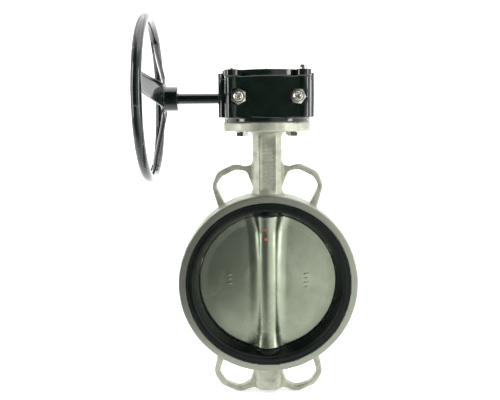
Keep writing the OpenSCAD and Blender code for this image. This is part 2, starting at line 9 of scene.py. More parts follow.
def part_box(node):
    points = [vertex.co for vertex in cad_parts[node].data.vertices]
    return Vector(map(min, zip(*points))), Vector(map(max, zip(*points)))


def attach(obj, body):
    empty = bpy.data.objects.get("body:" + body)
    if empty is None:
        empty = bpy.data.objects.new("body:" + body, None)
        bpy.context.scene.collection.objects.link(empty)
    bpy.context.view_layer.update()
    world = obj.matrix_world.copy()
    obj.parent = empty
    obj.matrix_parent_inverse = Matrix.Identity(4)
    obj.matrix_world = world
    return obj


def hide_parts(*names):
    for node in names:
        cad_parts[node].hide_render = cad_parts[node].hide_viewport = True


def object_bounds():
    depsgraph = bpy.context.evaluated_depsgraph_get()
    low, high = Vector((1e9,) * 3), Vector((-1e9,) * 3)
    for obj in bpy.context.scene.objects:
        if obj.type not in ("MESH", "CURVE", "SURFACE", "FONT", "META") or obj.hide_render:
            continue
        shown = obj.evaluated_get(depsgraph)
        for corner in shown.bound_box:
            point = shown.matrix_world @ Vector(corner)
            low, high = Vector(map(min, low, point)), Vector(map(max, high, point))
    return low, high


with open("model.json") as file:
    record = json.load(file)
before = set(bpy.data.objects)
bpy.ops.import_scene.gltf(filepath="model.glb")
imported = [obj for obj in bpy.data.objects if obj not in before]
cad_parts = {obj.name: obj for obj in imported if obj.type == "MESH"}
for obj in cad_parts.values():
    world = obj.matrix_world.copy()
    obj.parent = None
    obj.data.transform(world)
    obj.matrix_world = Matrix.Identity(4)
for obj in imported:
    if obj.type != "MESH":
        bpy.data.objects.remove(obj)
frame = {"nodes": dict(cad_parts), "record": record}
cadLow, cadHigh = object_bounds()
nodes = frame["nodes"]
record = frame["record"]
mm = 0.001
bodyOf = {n: body for body, members in record["behaviour"]["bodies"].items() for n in members}
slotOf = {row["node"]: row["material_slot"] for row in record["subparts"]}
print("frame loaded:", len(nodes), "nodes")


def axes(along):
    # two directions across an axis, and the axis itself
    w = np.array(along, float) / np.linalg.norm(along)
    u = np.cross((0, 0, 1), w) if abs(w[2]) < 0.9 else np.array((1.0, 0, 0))
    u /= np.linalg.norm(u)
    return u, np.cross(w, u), w


def roundAngles(steps):
    return np.linspace(0, 2 * math.pi, steps, endpoint=False)


def roundCorners(points, steps=6):
    # points are (x, y, radius); a radius above 0 becomes an arc
    out, count = [], len(points)
    for i in range(count):
        x, y, radius = points[i]
        q = np.array((x, y), float)
        if radius <= 0:
            out.append(q)
            continue
        a = np.array(points[i - 1][:2]) - q
        b = np.array(points[(i + 1) % count][:2]) - q
        a, b = a / np.linalg.norm(a), b / np.linalg.norm(b)
        half = math.acos(max(-1, min(1, float(a @ b)))) / 2
        middle = (a + b) / np.linalg.norm(a + b)
        centre = q + middle * radius / math.sin(half)
        u = q + a * radius / math.tan(half) - centre
        v = q + b * radius / math.tan(half) - centre
        for k in range(steps + 1):
            w = u * (1 - k / steps) + v * k / steps
            out.append(centre + w / np.linalg.norm(w) * radius)
    return np.array(out)


def loft(rings, closed=False):
    # joins rings of equal length into a skin, with flat ends unless it closes on itself
    rings = np.asarray(rings, float)
    count, size = rings.shape[:2]
    faces = []
    for k in range(count if closed else count - 1):
        a, b = k * size, (k + 1) % count * size
        faces += [(a + i, a + (i + 1) % size, b + (i + 1) % size, b + i) for i in range(size)]
    if not closed:
        faces.append(tuple(reversed(range(size))))
        faces.append(tuple(range((count - 1) * size, count * size)))
    return rings.reshape(-1, 3), faces


def lathe(profile, centre, along, steps=128, closed=False):
    # profile is (radius, distance along the axis), turned about the axis
    u, v, w = axes(along)
    turn = roundAngles(steps)
    circle = np.outer(np.cos(turn), u) + np.outer(np.sin(turn), v)
    return loft([np.array(centre) + r * circle + a * w for r, a in profile], closed)


def merged(parts):
    verts, faces, start = [], [], 0
    for partVerts, partFaces in parts:
        verts.append(np.asarray(partVerts, float))
        faces += [tuple(i + start for i in f) for f in partFaces]
        start += len(partVerts)
    return np.vstack(verts), faces


def finishMesh(mesh, sharp):
    bm = bmesh.new()
    bm.from_mesh(mesh)
    bmesh.ops.remove_doubles(bm, verts=bm.verts, dist=1e-7)
    bmesh.ops.recalc_face_normals(bm, faces=bm.faces)
    bm.to_mesh(mesh)
    bm.free()
    mesh.shade_smooth()
    mesh.set_sharp_from_angle(angle=math.radians(sharp))


def meshObject(name, shape, sharp):
    mesh = bpy.data.meshes.new(name)
    mesh.from_pydata([tuple(v) for v in shape[0]], [], shape[1])
    finishMesh(mesh, sharp)
    piece = bpy.data.objects.new(name, mesh)
    bpy.context.scene.collection.objects.link(piece)
    return piece


def joinFrame(piece, material, node, replaced=True):
    # the piece rides with a node's body and takes its material slot
    piece.data.materials.clear()
    piece.data.materials.append(material)
    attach(piece, bodyOf[node])
    if replaced:
        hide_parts(node)


def makePiece(name, shape, material, node, replaced=True, sharp=38):
    joinFrame(meshObject(name, shape, sharp), material, node, replaced)


def weldedCopy(name, node):
    # a copy of a node's mesh with its split corners joined and its flat areas whole
    mesh = nodes[node].data.copy()
    mesh.name = name
    bm = bmesh.new()
    bm.from_mesh(mesh)
    bmesh.ops.remove_doubles(bm, verts=bm.verts, dist=1e-6)
    bmesh.ops.dissolve_limit(bm, angle_limit=math.radians(1), verts=bm.verts, edges=bm.edges)
    bm.to_mesh(mesh)
    bm.free()
    for layer in ("custom_normal", "sharp_face", "sharp_edge"):
        if layer in mesh.attributes:
            mesh.attributes.remove(mesh.attributes[layer])
    piece = bpy.data.objects.new(name, mesh)
    bpy.context.scene.collection.objects.link(piece)
    return piece


def applyModifiers(piece):
    depsgraph = bpy.context.evaluated_depsgraph_get()
    mesh = bpy.data.meshes.new_from_object(piece.evaluated_get(depsgraph))
    mesh.name = piece.name
    piece.modifiers.clear()
    piece.data = mesh


def relax(points, edges, weight, rounds, pull=0.5, push=-0.53):
    # evens out the points along the edges without shrinking the shape
    a, b = edges[:, 0], edges[:, 1]
    count = np.bincount(a, minlength=len(points)) + np.bincount(b, minlength=len(points))
    for _ in range(rounds):
        for step in (pull, push):
            mean = np.stack([np.bincount(a, points[b, k], len(points))
                             + np.bincount(b, points[a, k], len(points)) for k in range(3)], 1)
            mean /= np.maximum(count, 1)[:, None]
            points = points + (mean - points) * (weight * step)[:, None]
    return points


def looseBoxes(node):
    # lowest and highest corner of each separate solid in a node
    bm = bmesh.new()
    bm.from_mesh(nodes[node].data)
    bmesh.ops.remove_doubles(bm, verts=bm.verts, dist=1e-6)
    seen, found = set(), []
    for start in bm.verts:
        if start in seen:
            continue
        seen.add(start)
        todo, group = [start], []
        while todo:
            vert = todo.pop()
            group.append(vert.co[:])
            for edge in vert.link_edges:
                other = edge.other_vert(vert)
                if other not in seen:
                    seen.add(other)
                    todo.append(other)
        group = np.array(group)
        found.append((group.min(0), group.max(0)))
    bm.free()
    return found


def hexRadius(turn, flats):
    # distance from the middle to a hexagon's side at each angle
    return flats / 2 / np.cos((turn + math.pi / 6) % (math.pi / 3) - math.pi / 6)


def screwRings(turn, radius, low, high, pitch, depth, perPitch=8):
    # radii and heights of a threaded length, one row for each small step
    count = max(2, int((high - low) / pitch * perPitch))
    rows = []
    for z in np.linspace(low, high, count):
        fade = min(1, (z - low) / pitch, (high - z) / pitch)
        wave = 0.5 + 0.5 * np.cos(2 * math.pi * z / pitch - turn)
        rows.append((radius - depth * fade * wave ** 1.5, z))
    return rows


def turned(rows, turn, origin, along, closed=False):
    # rows are (radius, height) about an axis, each one number or one for every angle
    u, v, w = axes(along)
    across = np.cos(turn)[:, None] * u + np.sin(turn)[:, None] * v
    rings = [np.array(origin) + across * np.reshape(r, (-1, 1)) + np.reshape(h, (-1, 1)) * w
             for r, h in rows]
    return loft(rings, closed)


def addNode(tree, kind, inputs=None, **settings):
    node = tree.nodes.new(kind)
    for key, value in settings.items():
        setattr(node, key, value)
    for key, value in (inputs or {}).items():
        if isinstance(value, bpy.types.NodeSocket):
            tree.links.new(value, node.inputs[key])
        else:
            node.inputs[key].default_value = value
    return node


def between(tree, value, start, end, low=0.0, high=1.0):
    return addNode(tree, "ShaderNodeMapRange", {
        "Value": value, "From Min": start, "From Max": end, "To Min": low, "To Max": high}).outputs[0]


def mixValue(tree, factor, low, high):
    return between(tree, factor, 0.0, 1.0, low, high)


def crossfade(tree, factor, first, second):
    return addNode(tree, "ShaderNodeMix", {0: factor, 2: first, 3: second}).outputs[0]


def mixColour(tree, factor, first, second):
    # a colour is a socket or three numbers
    first, second = (c if isinstance(c, bpy.types.NodeSocket) else (*c, 1) for c in (first, second))
    return addNode(tree, "ShaderNodeMix", {0: factor, 6: first, 7: second}, data_type="RGBA").outputs[2]


def times(tree, a, b):
    return addNode(tree, "ShaderNodeMath", {0: a, 1: b}, operation="MULTIPLY").outputs[0]


def plus(tree, a, b):
    return addNode(tree, "ShaderNodeMath", {0: a, 1: b}, operation="ADD").outputs[0]


def vectorMath(tree, operation, a, b=(0, 0, 0)):
    return addNode(tree, "ShaderNodeVectorMath", {0: a, 1: b}, operation=operation).outputs


def cloudy(tree, place, scale, detail=2.0, roughness=0.5, distortion=0.0):
    return addNode(tree, "ShaderNodeTexNoise", {
        "Vector": place, "Scale": scale, "Detail": detail, "Roughness": roughness,
        "Distortion": distortion}).outputs["Fac"]


def cells(tree, place, scale):
    return addNode(tree, "ShaderNodeTexVoronoi", {"Vector": place, "Scale": scale}).outputs["Distance"]


def makeGroup(name, inputs, outputs):
    # an input that is given a number is a float, and any other is a vector
    group = bpy.data.node_groups.new(name, "ShaderNodeTree")
    for label, value in inputs.items():
        kind = "NodeSocketFloat" if isinstance(value, float) else "NodeSocketVector"
        socket = group.interface.new_socket(label, in_out="INPUT", socket_type=kind)
        if value is not None:
            socket.default_value = value
    for label in outputs:
        group.interface.new_socket(label, in_out="OUTPUT", socket_type="NodeSocketFloat")
    start = group.nodes.new("NodeGroupInput")
    end = group.nodes.new("NodeGroupOutput")
    return group, start.outputs, end.inputs


def castGrainGroup():
    # blasted casting skin: fine grain, small pits and slow waves
    group, given, out = makeGroup(
        "castGrain", {"Vector": None, "Grain": 900.0, "Pits": 0.4, "Waves": 0.3}, ("Height", "Shade"))
    fine = cloudy(group, given["Vector"], given["Grain"], 4.0, 0.6)
    slow = cloudy(group, given["Vector"], 55.0, 3.0, 0.55)
    pit = between(group, cells(group, given["Vector"], given["Grain"]), 0.05, 0.35, -1.0, 0.0)
    pitted = plus(group, fine, times(group, pit, given["Pits"]))
    group.links.new(plus(group, pitted, times(group, slow, given["Waves"])), out["Height"])
    group.links.new(crossfade(group, 0.45, slow, fine), out["Shade"])
    return group


def latheRingsGroup():
    # turning marks about an axis, with an uneven depth
    group, given, out = makeGroup(
        "latheRings", {"Vector": None, "Centre": (0, 0, 0), "Axis": (0, 1, 0), "Rings": 2500.0},
        ("Height", "Radius"))
    offset = vectorMath(group, "SUBTRACT", given["Vector"], given["Centre"])[0]
    cross = vectorMath(group, "CROSS_PRODUCT", offset, given["Axis"])[0]
    radius = vectorMath(group, "LENGTH", cross)["Value"]
    rings = addNode(group, "ShaderNodeTexNoise", {
        "W": times(group, radius, given["Rings"]), "Scale": 1.0, "Detail": 2.0}, noise_dimensions="1D")
    group.links.new(rings.outputs["Fac"], out["Height"])
    group.links.new(radius, out["Radius"])
    return group


def wornEdgeGroup():
    # rubbed outer edges, broken up by noise, and a mask of the hollows for painted shade
    group, given, out = makeGroup(
        "wornEdge", {"Vector": None, "Start": 0.53, "End": 0.6, "Breakup": 120.0}, ("Edge", "Hollow"))
    bend = addNode(group, "ShaderNodeNewGeometry").outputs["Pointiness"]
    edge = between(group, bend, given["Start"], given["End"])
    patches = between(group, cloudy(group, given["Vector"], given["Breakup"], 5.0, 0.65), 0.4, 0.62)
    group.links.new(times(group, edge, patches), out["Edge"])
    group.links.new(between(group, bend, 0.49, 0.42), out["Hollow"])
    return group


def handlingFilmGroup():
    # thin film of dust, oil and finger marks
    group, given, out = makeGroup(
        "handlingFilm", {"Vector": None, "Size": 30.0, "Speckle": 700.0}, ("Film", "Specks"))
    cloud = cloudy(group, given["Vector"], given["Size"], 6.0, 0.6, 0.8)
    group.links.new(between(group, cloud, 0.38, 0.72), out["Film"])
    dots = cells(group, given["Vector"], given["Speckle"])
    group.links.new(between(group, dots, 0.12, 0.05), out["Specks"])
    return group


def paintSkinGroup():
    # wet paint pulled smooth over a casting: orange peel on slow sags
    group, given, out = makeGroup(
        "paintSkin", {"Vector": None, "Peel": 260.0, "Sags": 45.0, "Peel Share": 0.3}, ("Height",))
    peel = cloudy(group, given["Vector"], given["Peel"])
    sags = cloudy(group, given["Vector"], given["Sags"])
    group.links.new(crossfade(group, given["Peel Share"], sags, peel), out["Height"])
    return group


castGrain = castGrainGroup()
latheRings = latheRingsGroup()
wornEdge = wornEdgeGroup()
handlingFilm = handlingFilmGroup()
paintSkin = paintSkinGroup()
print("shader groups built")


def newMaterial(name, **constants):
    material = bpy.data.materials.new(name)
    material.use_nodes = True
    tree = material.node_tree
    for key, value in constants.items():
        tree.nodes["Principled BSDF"].inputs[key.replace("_", " ")].default_value = value
    place = addNode(tree, "ShaderNodeTexCoord").outputs["Object"]
    return material, tree, place


def useGroup(tree, group, place, **inputs):
    node = tree.nodes.new("ShaderNodeGroup")
    node.node_tree = group
    tree.links.new(place, node.inputs["Vector"])
    for key, value in inputs.items():
        node.inputs[key.replace("_", " ")].default_value = value
    return node


def surfaced(material, colour, rough, height, strength, depth):
    # joins the colour, roughness and relief that vary over the surface to the shader
    tree = material.node_tree
    bump = addNode(tree, "ShaderNodeBump", {"Height": height, "Strength": strength, "Distance": depth})
    varying = {"Base Color": colour, "Roughness": rough, "Normal": bump.outputs[0]}
    for label, value in varying.items():
        tree.links.new(value, tree.nodes["Principled BSDF"].inputs[label])
    return material


def castStainless():
    look = {"dark": (0.300, 0.310, 0.245), "light": (0.520, 0.530, 0.440),
            "sootAndHollowShade": (0.105, 0.105, 0.078), "rubbed": (0.66, 0.66, 0.58),
            "turned": (0.235, 0.255, 0.205), "turnedLight": (0.31, 0.33, 0.27),
            "ringHalf": 27.5 * mm}
    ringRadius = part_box("valve_body")[1][0]
    material, tree, place = newMaterial("castStainless", Metallic=0.9, Roughness=0.5)
    grain = useGroup(tree, castGrain, place, Grain=850.0, Pits=0.5, Waves=0.8)
    edgeWearAndHollowShade = useGroup(tree, wornEdge, place, Start=0.515, End=0.57, Breakup=160.0)
    film = useGroup(tree, handlingFilm, place, Size=22.0, Speckle=450.0)
    rings = useGroup(tree, latheRings, place, Axis=(0, 1, 0), Rings=2600.0)
    where = addNode(tree, "ShaderNodeSeparateXYZ", {0: place})
    depth = addNode(tree, "ShaderNodeMath", {0: where.outputs["Y"]}, operation="ABSOLUTE").outputs[0]
    # the two turned faces of the ring; all the rest is cast skin
    face = times(tree, between(tree, depth, look["ringHalf"], look["ringHalf"] + 0.6 * mm),
                 between(tree, rings.outputs["Radius"], ringRadius + 1.5 * mm, ringRadius + 0.2 * mm))
    shade = between(tree, grain.outputs["Shade"], 0.36, 0.66)
    skin = mixColour(tree, shade, look["dark"], look["light"])
    # painted shade: the hollows, where the mesh bends inward, are darkened towards a dark colour
    skin = mixColour(tree, times(tree, edgeWearAndHollowShade.outputs["Hollow"], 0.75), skin, look["sootAndHollowShade"])
    skin = mixColour(tree, times(tree, film.outputs["Specks"], 0.35), skin, look["sootAndHollowShade"])
    skin = mixColour(tree, times(tree, edgeWearAndHollowShade.outputs["Edge"], 0.55), skin, look["rubbed"])
    bare = mixColour(tree, rings.outputs["Height"], look["turned"], look["turnedLight"])
    colour = mixColour(tree, face, skin, bare)
    rough = crossfade(tree, face, mixValue(tree, shade, 0.62, 0.48), 0.30)
    height = crossfade(tree, face, grain.outputs["Height"], times(tree, rings.outputs["Height"], 0.25))
    return surfaced(material, colour, rough, height, 0.55, 0.4 * mm)


def discStainless():
    look = {"dark": (0.235, 0.270, 0.195), "light": (0.310, 0.345, 0.262),
            "film": (0.16, 0.17, 0.125), "speck": (0.07, 0.07, 0.05), "edge": (0.78, 0.79, 0.72)}
    material, tree, place = newMaterial("discStainless", Metallic=0.95, Roughness=0.36)
    grain = useGroup(tree, castGrain, place, Grain=1400.0, Pits=0.2, Waves=0.45)
    film = useGroup(tree, handlingFilm, place, Size=14.0, Speckle=260.0)
    rings = useGroup(tree, latheRings, place, Axis=(0, 1, 0), Rings=3200.0)
    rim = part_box("disc")[1][0]
    edge = between(tree, rings.outputs["Radius"], rim - 2.4 * mm, rim - 1.8 * mm)  # polished
    shade = between(tree, grain.outputs["Shade"], 0.35, 0.65)
    skin = mixColour(tree, shade, look["dark"], look["light"])
    skin = mixColour(tree, times(tree, film.outputs["Film"], 0.12), skin, look["film"])
    skin = mixColour(tree, times(tree, film.outputs["Specks"], 0.25), skin, look["speck"])
    colour = mixColour(tree, edge, skin, look["edge"])
    rough = crossfade(tree, edge, mixValue(tree, film.outputs["Film"], 0.22, 0.30), 0.12)
    height = crossfade(tree, edge, grain.outputs["Height"], times(tree, rings.outputs["Height"], 0.3))
    return surfaced(material, colour, rough, height, 0.25, 0.3 * mm)


def seatRubber():
    look = {"base": (0.0012, 0.0034, 0.0022), "bloom": (0.0040, 0.0075, 0.0058),
            "dust": (0.04, 0.045, 0.038)}
    material, tree, place = newMaterial(
        "seatRubber", Roughness=0.34, Specular_IOR_Level=0.17)
    film = useGroup(tree, handlingFilm, place, Size=26.0, Speckle=520.0)
    grain = useGroup(tree, castGrain, place, Grain=1800.0, Pits=0.1, Waves=0.6)
    colour = mixColour(tree, film.outputs["Film"], look["base"], look["bloom"])
    colour = mixColour(tree, times(tree, film.outputs["Specks"], 0.4), colour, look["dust"])
    rough = mixValue(tree, film.outputs["Film"], 0.26, 0.42)
    return surfaced(material, colour, rough, grain.outputs["Height"], 0.2, 0.2 * mm)


def sealRubber():
    material, tree, place = newMaterial("sealRubber", Roughness=0.4)
    film = useGroup(tree, handlingFilm, place, Size=60.0, Speckle=900.0)
    colour = mixColour(tree, film.outputs["Film"], (0.010, 0.011, 0.010), (0.030, 0.031, 0.029))
    rough = mixValue(tree, film.outputs["Film"], 0.32, 0.5)
    return surfaced(material, colour, rough, film.outputs["Film"], 0.1, 0.2 * mm)


def blackEnamel(name, chips=0.0, sags=45.0):
    # dipped gloss enamel; chips lets grey primer show in small worn spots
    look = {"base": (0.0028, 0.0072, 0.0046), "deep": (0.0052, 0.0108, 0.0074),
            "dust": (0.12, 0.13, 0.12), "primer": (0.16, 0.165, 0.15)}
    material, tree, place = newMaterial(
        name, Roughness=0.09, Specular_IOR_Level=0.42, Coat_Weight=0.4,
        Coat_Roughness=0.04)
    paint = useGroup(tree, paintSkin, place, Peel=280.0, Sags=sags, Peel_Share=0.25)
    film = useGroup(tree, handlingFilm, place, Size=24.0, Speckle=420.0)
    colour = mixColour(tree, film.outputs["Film"], look["base"], look["deep"])
    colour = mixColour(tree, times(tree, film.outputs["Specks"], 0.25), colour, look["dust"])
    height = paint.outputs["Height"]
    rough = mixValue(tree, film.outputs["Film"], 0.07, 0.17)
    if chips:
        spots = between(tree, cloudy(tree, place, 150.0, 6.0, 0.7), 0.635, 0.655)
        zone = between(tree, cloudy(tree, place, 11.0), 0.5, 0.6)
        chip = times(tree, times(tree, spots, zone), chips)
        colour = mixColour(tree, chip, colour, look["primer"])
        rough = plus(tree, rough, times(tree, chip, 0.35))
        height = plus(tree, height, times(tree, chip, -0.35))
    return surfaced(material, colour, rough, height, 0.22, 1.2 * mm)


def zincPlate():
    look = {"base": (0.60, 0.61, 0.57), "tint": (0.52, 0.50, 0.38), "hollowShade": (0.10, 0.095, 0.075)}
    material, tree, place = newMaterial("zincPlate", Metallic=1.0, Roughness=0.24)
    film = useGroup(tree, handlingFilm, place, Size=90.0, Speckle=1500.0)
    edgeWearAndHollowShade = useGroup(tree, wornEdge, place, Start=0.52, End=0.6, Breakup=500.0)
    grain = useGroup(tree, castGrain, place, Grain=2600.0, Pits=0.1, Waves=0.2)
    colour = mixColour(tree, film.outputs["Film"], look["base"], look["tint"])
    # painted shade: the hollows, where the mesh bends inward, are darkened towards a dark colour
    colour = mixColour(tree, times(tree, edgeWearAndHollowShade.outputs["Hollow"], 0.8), colour, look["hollowShade"])
    rough = mixValue(tree, film.outputs["Film"], 0.18, 0.36)
    return surfaced(material, colour, rough, grain.outputs["Height"], 0.15, 0.2 * mm)


def turnedMetal(name, base, worn, rough):
    # bright metal with fine tool marks round the upright axis
    material, tree, place = newMaterial(name, Metallic=1.0, Roughness=rough)
    film = useGroup(tree, handlingFilm, place, Size=70.0, Speckle=1200.0)
    marks = useGroup(tree, latheRings, place, Axis=(0, 0, 1), Rings=2200.0)
    grain = useGroup(tree, castGrain, place, Grain=2400.0, Pits=0.05, Waves=0.2)
    colour = mixColour(tree, film.outputs["Film"], base, worn)
    rough = mixValue(tree, film.outputs["Film"], rough, rough + 0.16)
    height = plus(tree, times(tree, marks.outputs["Height"], 0.5),
                  times(tree, grain.outputs["Height"], 0.3))
    return surfaced(material, colour, rough, height, 0.2, 0.2 * mm)


def gasketFibre():
    material, tree, place = newMaterial("gasketFibre", Roughness=0.8)
    grain = useGroup(tree, castGrain, place, Grain=2200.0, Pits=0.2, Waves=0.5)
    colour = mixColour(tree, grain.outputs["Shade"], (0.04, 0.036, 0.03), (0.16, 0.15, 0.13))
    rough = mixValue(tree, grain.outputs["Shade"], 0.7, 0.9)
    return surfaced(material, colour, rough, grain.outputs["Height"], 0.4, 0.2 * mm)


def inspectionPaint():
    look = {"base": (0.42, 0.045, 0.02), "worn": (0.25, 0.05, 0.03)}
    material, tree, place = newMaterial("inspectionRed", Roughness=0.45)
    film = useGroup(tree, handlingFilm, place, Size=400.0, Speckle=2500.0)
    colour = mixColour(tree, film.outputs["Film"], look["base"], look["worn"])
    rough = mixValue(tree, film.outputs["Film"], 0.35, 0.6)
    return surfaced(material, colour, rough, film.outputs["Film"], 0.2, 0.2 * mm)


looks = {
    "cast_stainless": castStainless(),
    "disc_stainless": discStainless(),
    "seat_rubber": seatRubber(),
    "seal_rubber": sealRubber(),
    "black_paint": blackEnamel("blackEnamel"),
    "zinc_plate": zincPlate(),
    "gasket_fibre": gasketFibre(),
    "turned_steel": turnedMetal("turnedSteel", (0.50, 0.51, 0.48), (0.38, 0.38, 0.35), 0.24),
    "spring_steel": turnedMetal("springSteel", (0.20, 0.20, 0.19), (0.11, 0.11, 0.10), 0.30),
    "bronze": turnedMetal("sinteredBronze", (0.50, 0.34, 0.15), (0.33, 0.21, 0.09), 0.34),
    "ductile_iron": turnedMetal("ductileIron", (0.22, 0.21, 0.19), (0.12, 0.11, 0.10), 0.40),
}
wheelEnamel = blackEnamel("wheelEnamel", chips=1.0, sags=60.0)
for nodeName, obj in nodes.items():
    obj.data.materials.clear()
    obj.data.materials.append(looks[slotOf[nodeName]])
print("materials built:", len(bpy.data.materials))


def sampleNoise(points, size, seed):
    return np.array([noise.noise((p[0] / size + seed, p[1] / size, p[2] / size)) for p in points])


def pointsOf(mesh):
    points = np.empty(len(mesh.vertices) * 3)
    mesh.vertices.foreach_get("co", points)
    return points.reshape(-1, 3)


def castSkin(piece, settings, machined):
    # rounds a sharp mesh as sand moulding does; machined says which points stay where they are put
    remesh = piece.modifiers.new("skin", "REMESH")
    remesh.mode = "VOXEL"
    remesh.voxel_size = settings["voxel"]
    applyModifiers(piece)
    mesh = piece.data
    points = pointsOf(mesh)
    edges = np.empty(len(mesh.edges) * 2, int)
    mesh.edges.foreach_get("vertices", edges)
    edges = edges.reshape(-1, 2)
    fixed = machined(points)
    weight = np.where(fixed, 0.0, 1.0)
    points = relax(points, edges, weight, settings["soften"], 0.5, 0.0)
    points = relax(points, edges, weight, settings["even"])
    normals = np.empty(len(mesh.vertices) * 3)
    mesh.vertices.foreach_get("normal", normals)
    wave = sampleNoise(points, settings["waveSize"], 3.1) * settings["wave"]
    wave += sampleNoise(points, settings["waveSize"] / 3, 7.7) * settings["wave"] * 0.4
    points += normals.reshape(-1, 3) * ((wave - settings["wave"] * 0.5) * weight)[:, None]
    mesh.vertices.foreach_set("co", points.ravel())
    mesh.update()
    mesh.shade_smooth()


def makeBody():
    cast = {"voxel": 1.6 * mm, "soften": 2, "even": 8, "wave": 0.16 * mm, "waveSize": 11 * mm,
            "faceCatch": 0.9 * mm, "ringEdge": 1.2 * mm, "topCatch": 0.8 * mm, "lip": 2 * mm}
    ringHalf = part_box("seat_liner")[1][1] - cast["lip"]
    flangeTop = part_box("valve_body")[1][2]
    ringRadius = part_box("valve_body")[1][0]

    def machined(points):
        radius = np.hypot(points[:, 0], points[:, 2])
        face = np.abs(np.abs(points[:, 1]) - ringHalf) < cast["faceCatch"]
        face &= radius < ringRadius - cast["ringEdge"]
        points[face, 1] = np.sign(points[face, 1]) * ringHalf
        top = points[:, 2] > flangeTop - cast["topCatch"]
        points[top, 2] = flangeTop
        return face | top

    body = weldedCopy("castBody", "valve_body")
    castSkin(body, cast, machined)
    joinFrame(body, looks["cast_stainless"], "valve_body")


def raisedPad(width, height, radius, proud, place, u, v, w, sunk=0.8 * mm):
    # rounded bar standing proud of a surface; w points out of it
    rings = []
    for shrink, level in ((0, -sunk), (0, 0.45 * proud), (0.12 * mm, 0.85 * proud), (0.35 * mm, proud)):
        a, b = width / 2 - shrink, height / 2 - shrink
        corner = max(radius - shrink, 0.1 * mm)
        flat = roundCorners([(a, -b, corner), (a, b, corner), (-a, b, corner), (-a, -b, corner)], 4)
        rings.append([np.array(place) + p[0] * np.array(u) + p[1] * np.array(v) + level * np.array(w)
                      for p in flat])
    return loft(rings)


def makeCastMarks():
    # plain raised bars where a foundry puts its marks
    marks = {"bars": 13, "pitch": 5.4 * mm, "thick": 2.0 * mm, "proud": 0.55 * mm,
             "wide": (6.4, 4.2, 6.4, 6.4, 3.4), "columns": (-4.6 * mm, 5.0 * mm),
             "neckFace": -20.2 * mm, "bossFace": -19.5 * mm, "bossWide": 1.9 * mm, "bossPitch": 4.0 * mm}
    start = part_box("valve_body")[1][0] + 12 * mm
    x, y, z = np.eye(3)
    parts = []
    for column, middle in enumerate(marks["columns"]):
        for i in range(marks["bars"] - 3 * column):
            width = marks["wide"][(i * (column + 2)) % 5] * mm
            level = start + i * marks["pitch"] + column * 6 * mm
            parts.append(raisedPad(width, marks["thick"], 0.8 * mm, marks["proud"],
                                   (middle, marks["neckFace"], level), x, z, -y))
    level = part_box("bottom_plug")[0][2] + 16 * mm
    for i in range(5):
        tall = (5.5 - i % 2 * 1.6) * mm
        parts.append(raisedPad(marks["bossWide"], tall, 0.7 * mm, marks["proud"],
                               ((i - 2) * marks["bossPitch"], marks["bossFace"], level), x, z, -y))
    makePiece("castMarks", merged(parts), looks["cast_stainless"], "valve_body", replaced=False)


def makeSeat():
    seat = {"gap": 0.35 * mm, "thick": 7.3 * mm, "lipDeep": 8.5 * mm, "lipRound": 0.8 * mm,
            "collarEdge": 2.4 * mm, "collarDeep": 4.6 * mm, "stemGap": 0.05 * mm, "steps": 300}
    outer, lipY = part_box("seat_liner")[1][:2]
    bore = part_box("disc")[1][0] + seat["gap"]
    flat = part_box("disc")[1][2] + seat["gap"]  # where the liner meets the disc around the stem
    flatRadius = math.sqrt(bore ** 2 - flat ** 2) - 0.5 * mm
    back = bore + seat["thick"]
    tongue = lipY - seat["lipDeep"]
    # one side of the section, from the middle of the bore round the lip to the key in the casting
    half = [(bore, 0, 0), (bore, 13 * mm, 9 * mm), (bore + 5 * mm, lipY - 3.5 * mm, 5 * mm),
            (bore + 7.5 * mm, lipY, 3 * mm), (bore + 13.2 * mm, lipY, 0.5 * mm),
            (bore + 13.6 * mm, lipY - 0.5 * mm, 0.4 * mm), (bore + 14.4 * mm, lipY - 0.5 * mm, 0.4 * mm),
            (bore + 14.8 * mm, lipY, 0.5 * mm), (outer, lipY, seat["lipRound"]), (outer, tongue, 0),
            (back, tongue, 0), (back, 8 * mm, 0), (back + 3 * mm, 8 * mm, 0)]
    ring = half + [(r, -y, round) for r, y, round in reversed(half[1:])]
    ringShape = lathe(roundCorners(ring, 5), (0, 0, 0), (0, 1, 0), seat["steps"], closed=True)
    liner = meshObject("seatLiner", ringShape, 40)
    stemLow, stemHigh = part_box("upper_stem")
    stemHole = (stemHigh[0] - stemLow[0]) / 2 + seat["stemGap"]
    top = bore + seat["collarDeep"]
    collar = roundCorners([(flatRadius, top, 0), (flatRadius, flat, seat["collarEdge"]),
                           (0.02 * mm, flat, 0), (0.02 * mm, top, 0)], 8)
    helpers = []
    for side in (1, -1):
        shape = lathe(collar, (0, 0, 0), (0, 0, side), 96, closed=True)
        helpers.append((meshObject("collar", shape, 40), "UNION"))
    drill = lathe([(stemHole, -130 * mm), (stemHole, 130 * mm)], (0, 0, 0), (0, 0, 1), 64)
    helpers.append((meshObject("drill", drill, 40), "DIFFERENCE"))
    for helper, operation in helpers:
        cut = liner.modifiers.new(operation.lower(), "BOOLEAN")
        cut.object = helper
        cut.operation = operation
        cut.solver = "EXACT"
    applyModifiers(liner)
    for helper, _ in helpers:
        bpy.data.objects.remove(helper)
    finishMesh(liner.data, 40)
    joinFrame(liner, looks["seat_rubber"], "seat_liner")


disc = {
    "radius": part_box("disc")[1][0] + 0.2 * mm,
    "end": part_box("disc")[1][2],
    "hub": 18 * mm,
    "hubEnd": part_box("disc")[1][1] + 0.45 * mm,
    "flare": 24 * mm,
    "fillet": 24 * mm,
    "middle": 7.5 * mm,
    "rim": 5 * mm,
    "taperFrom": 36 * mm,
    "taperTo": 12 * mm,  # short of the edge by this much
    "polish": 2 * mm,
    "endRound": 0.9 * mm,
    "endDrop": 0.7 * mm,
    "endWide": 26 * mm,
}


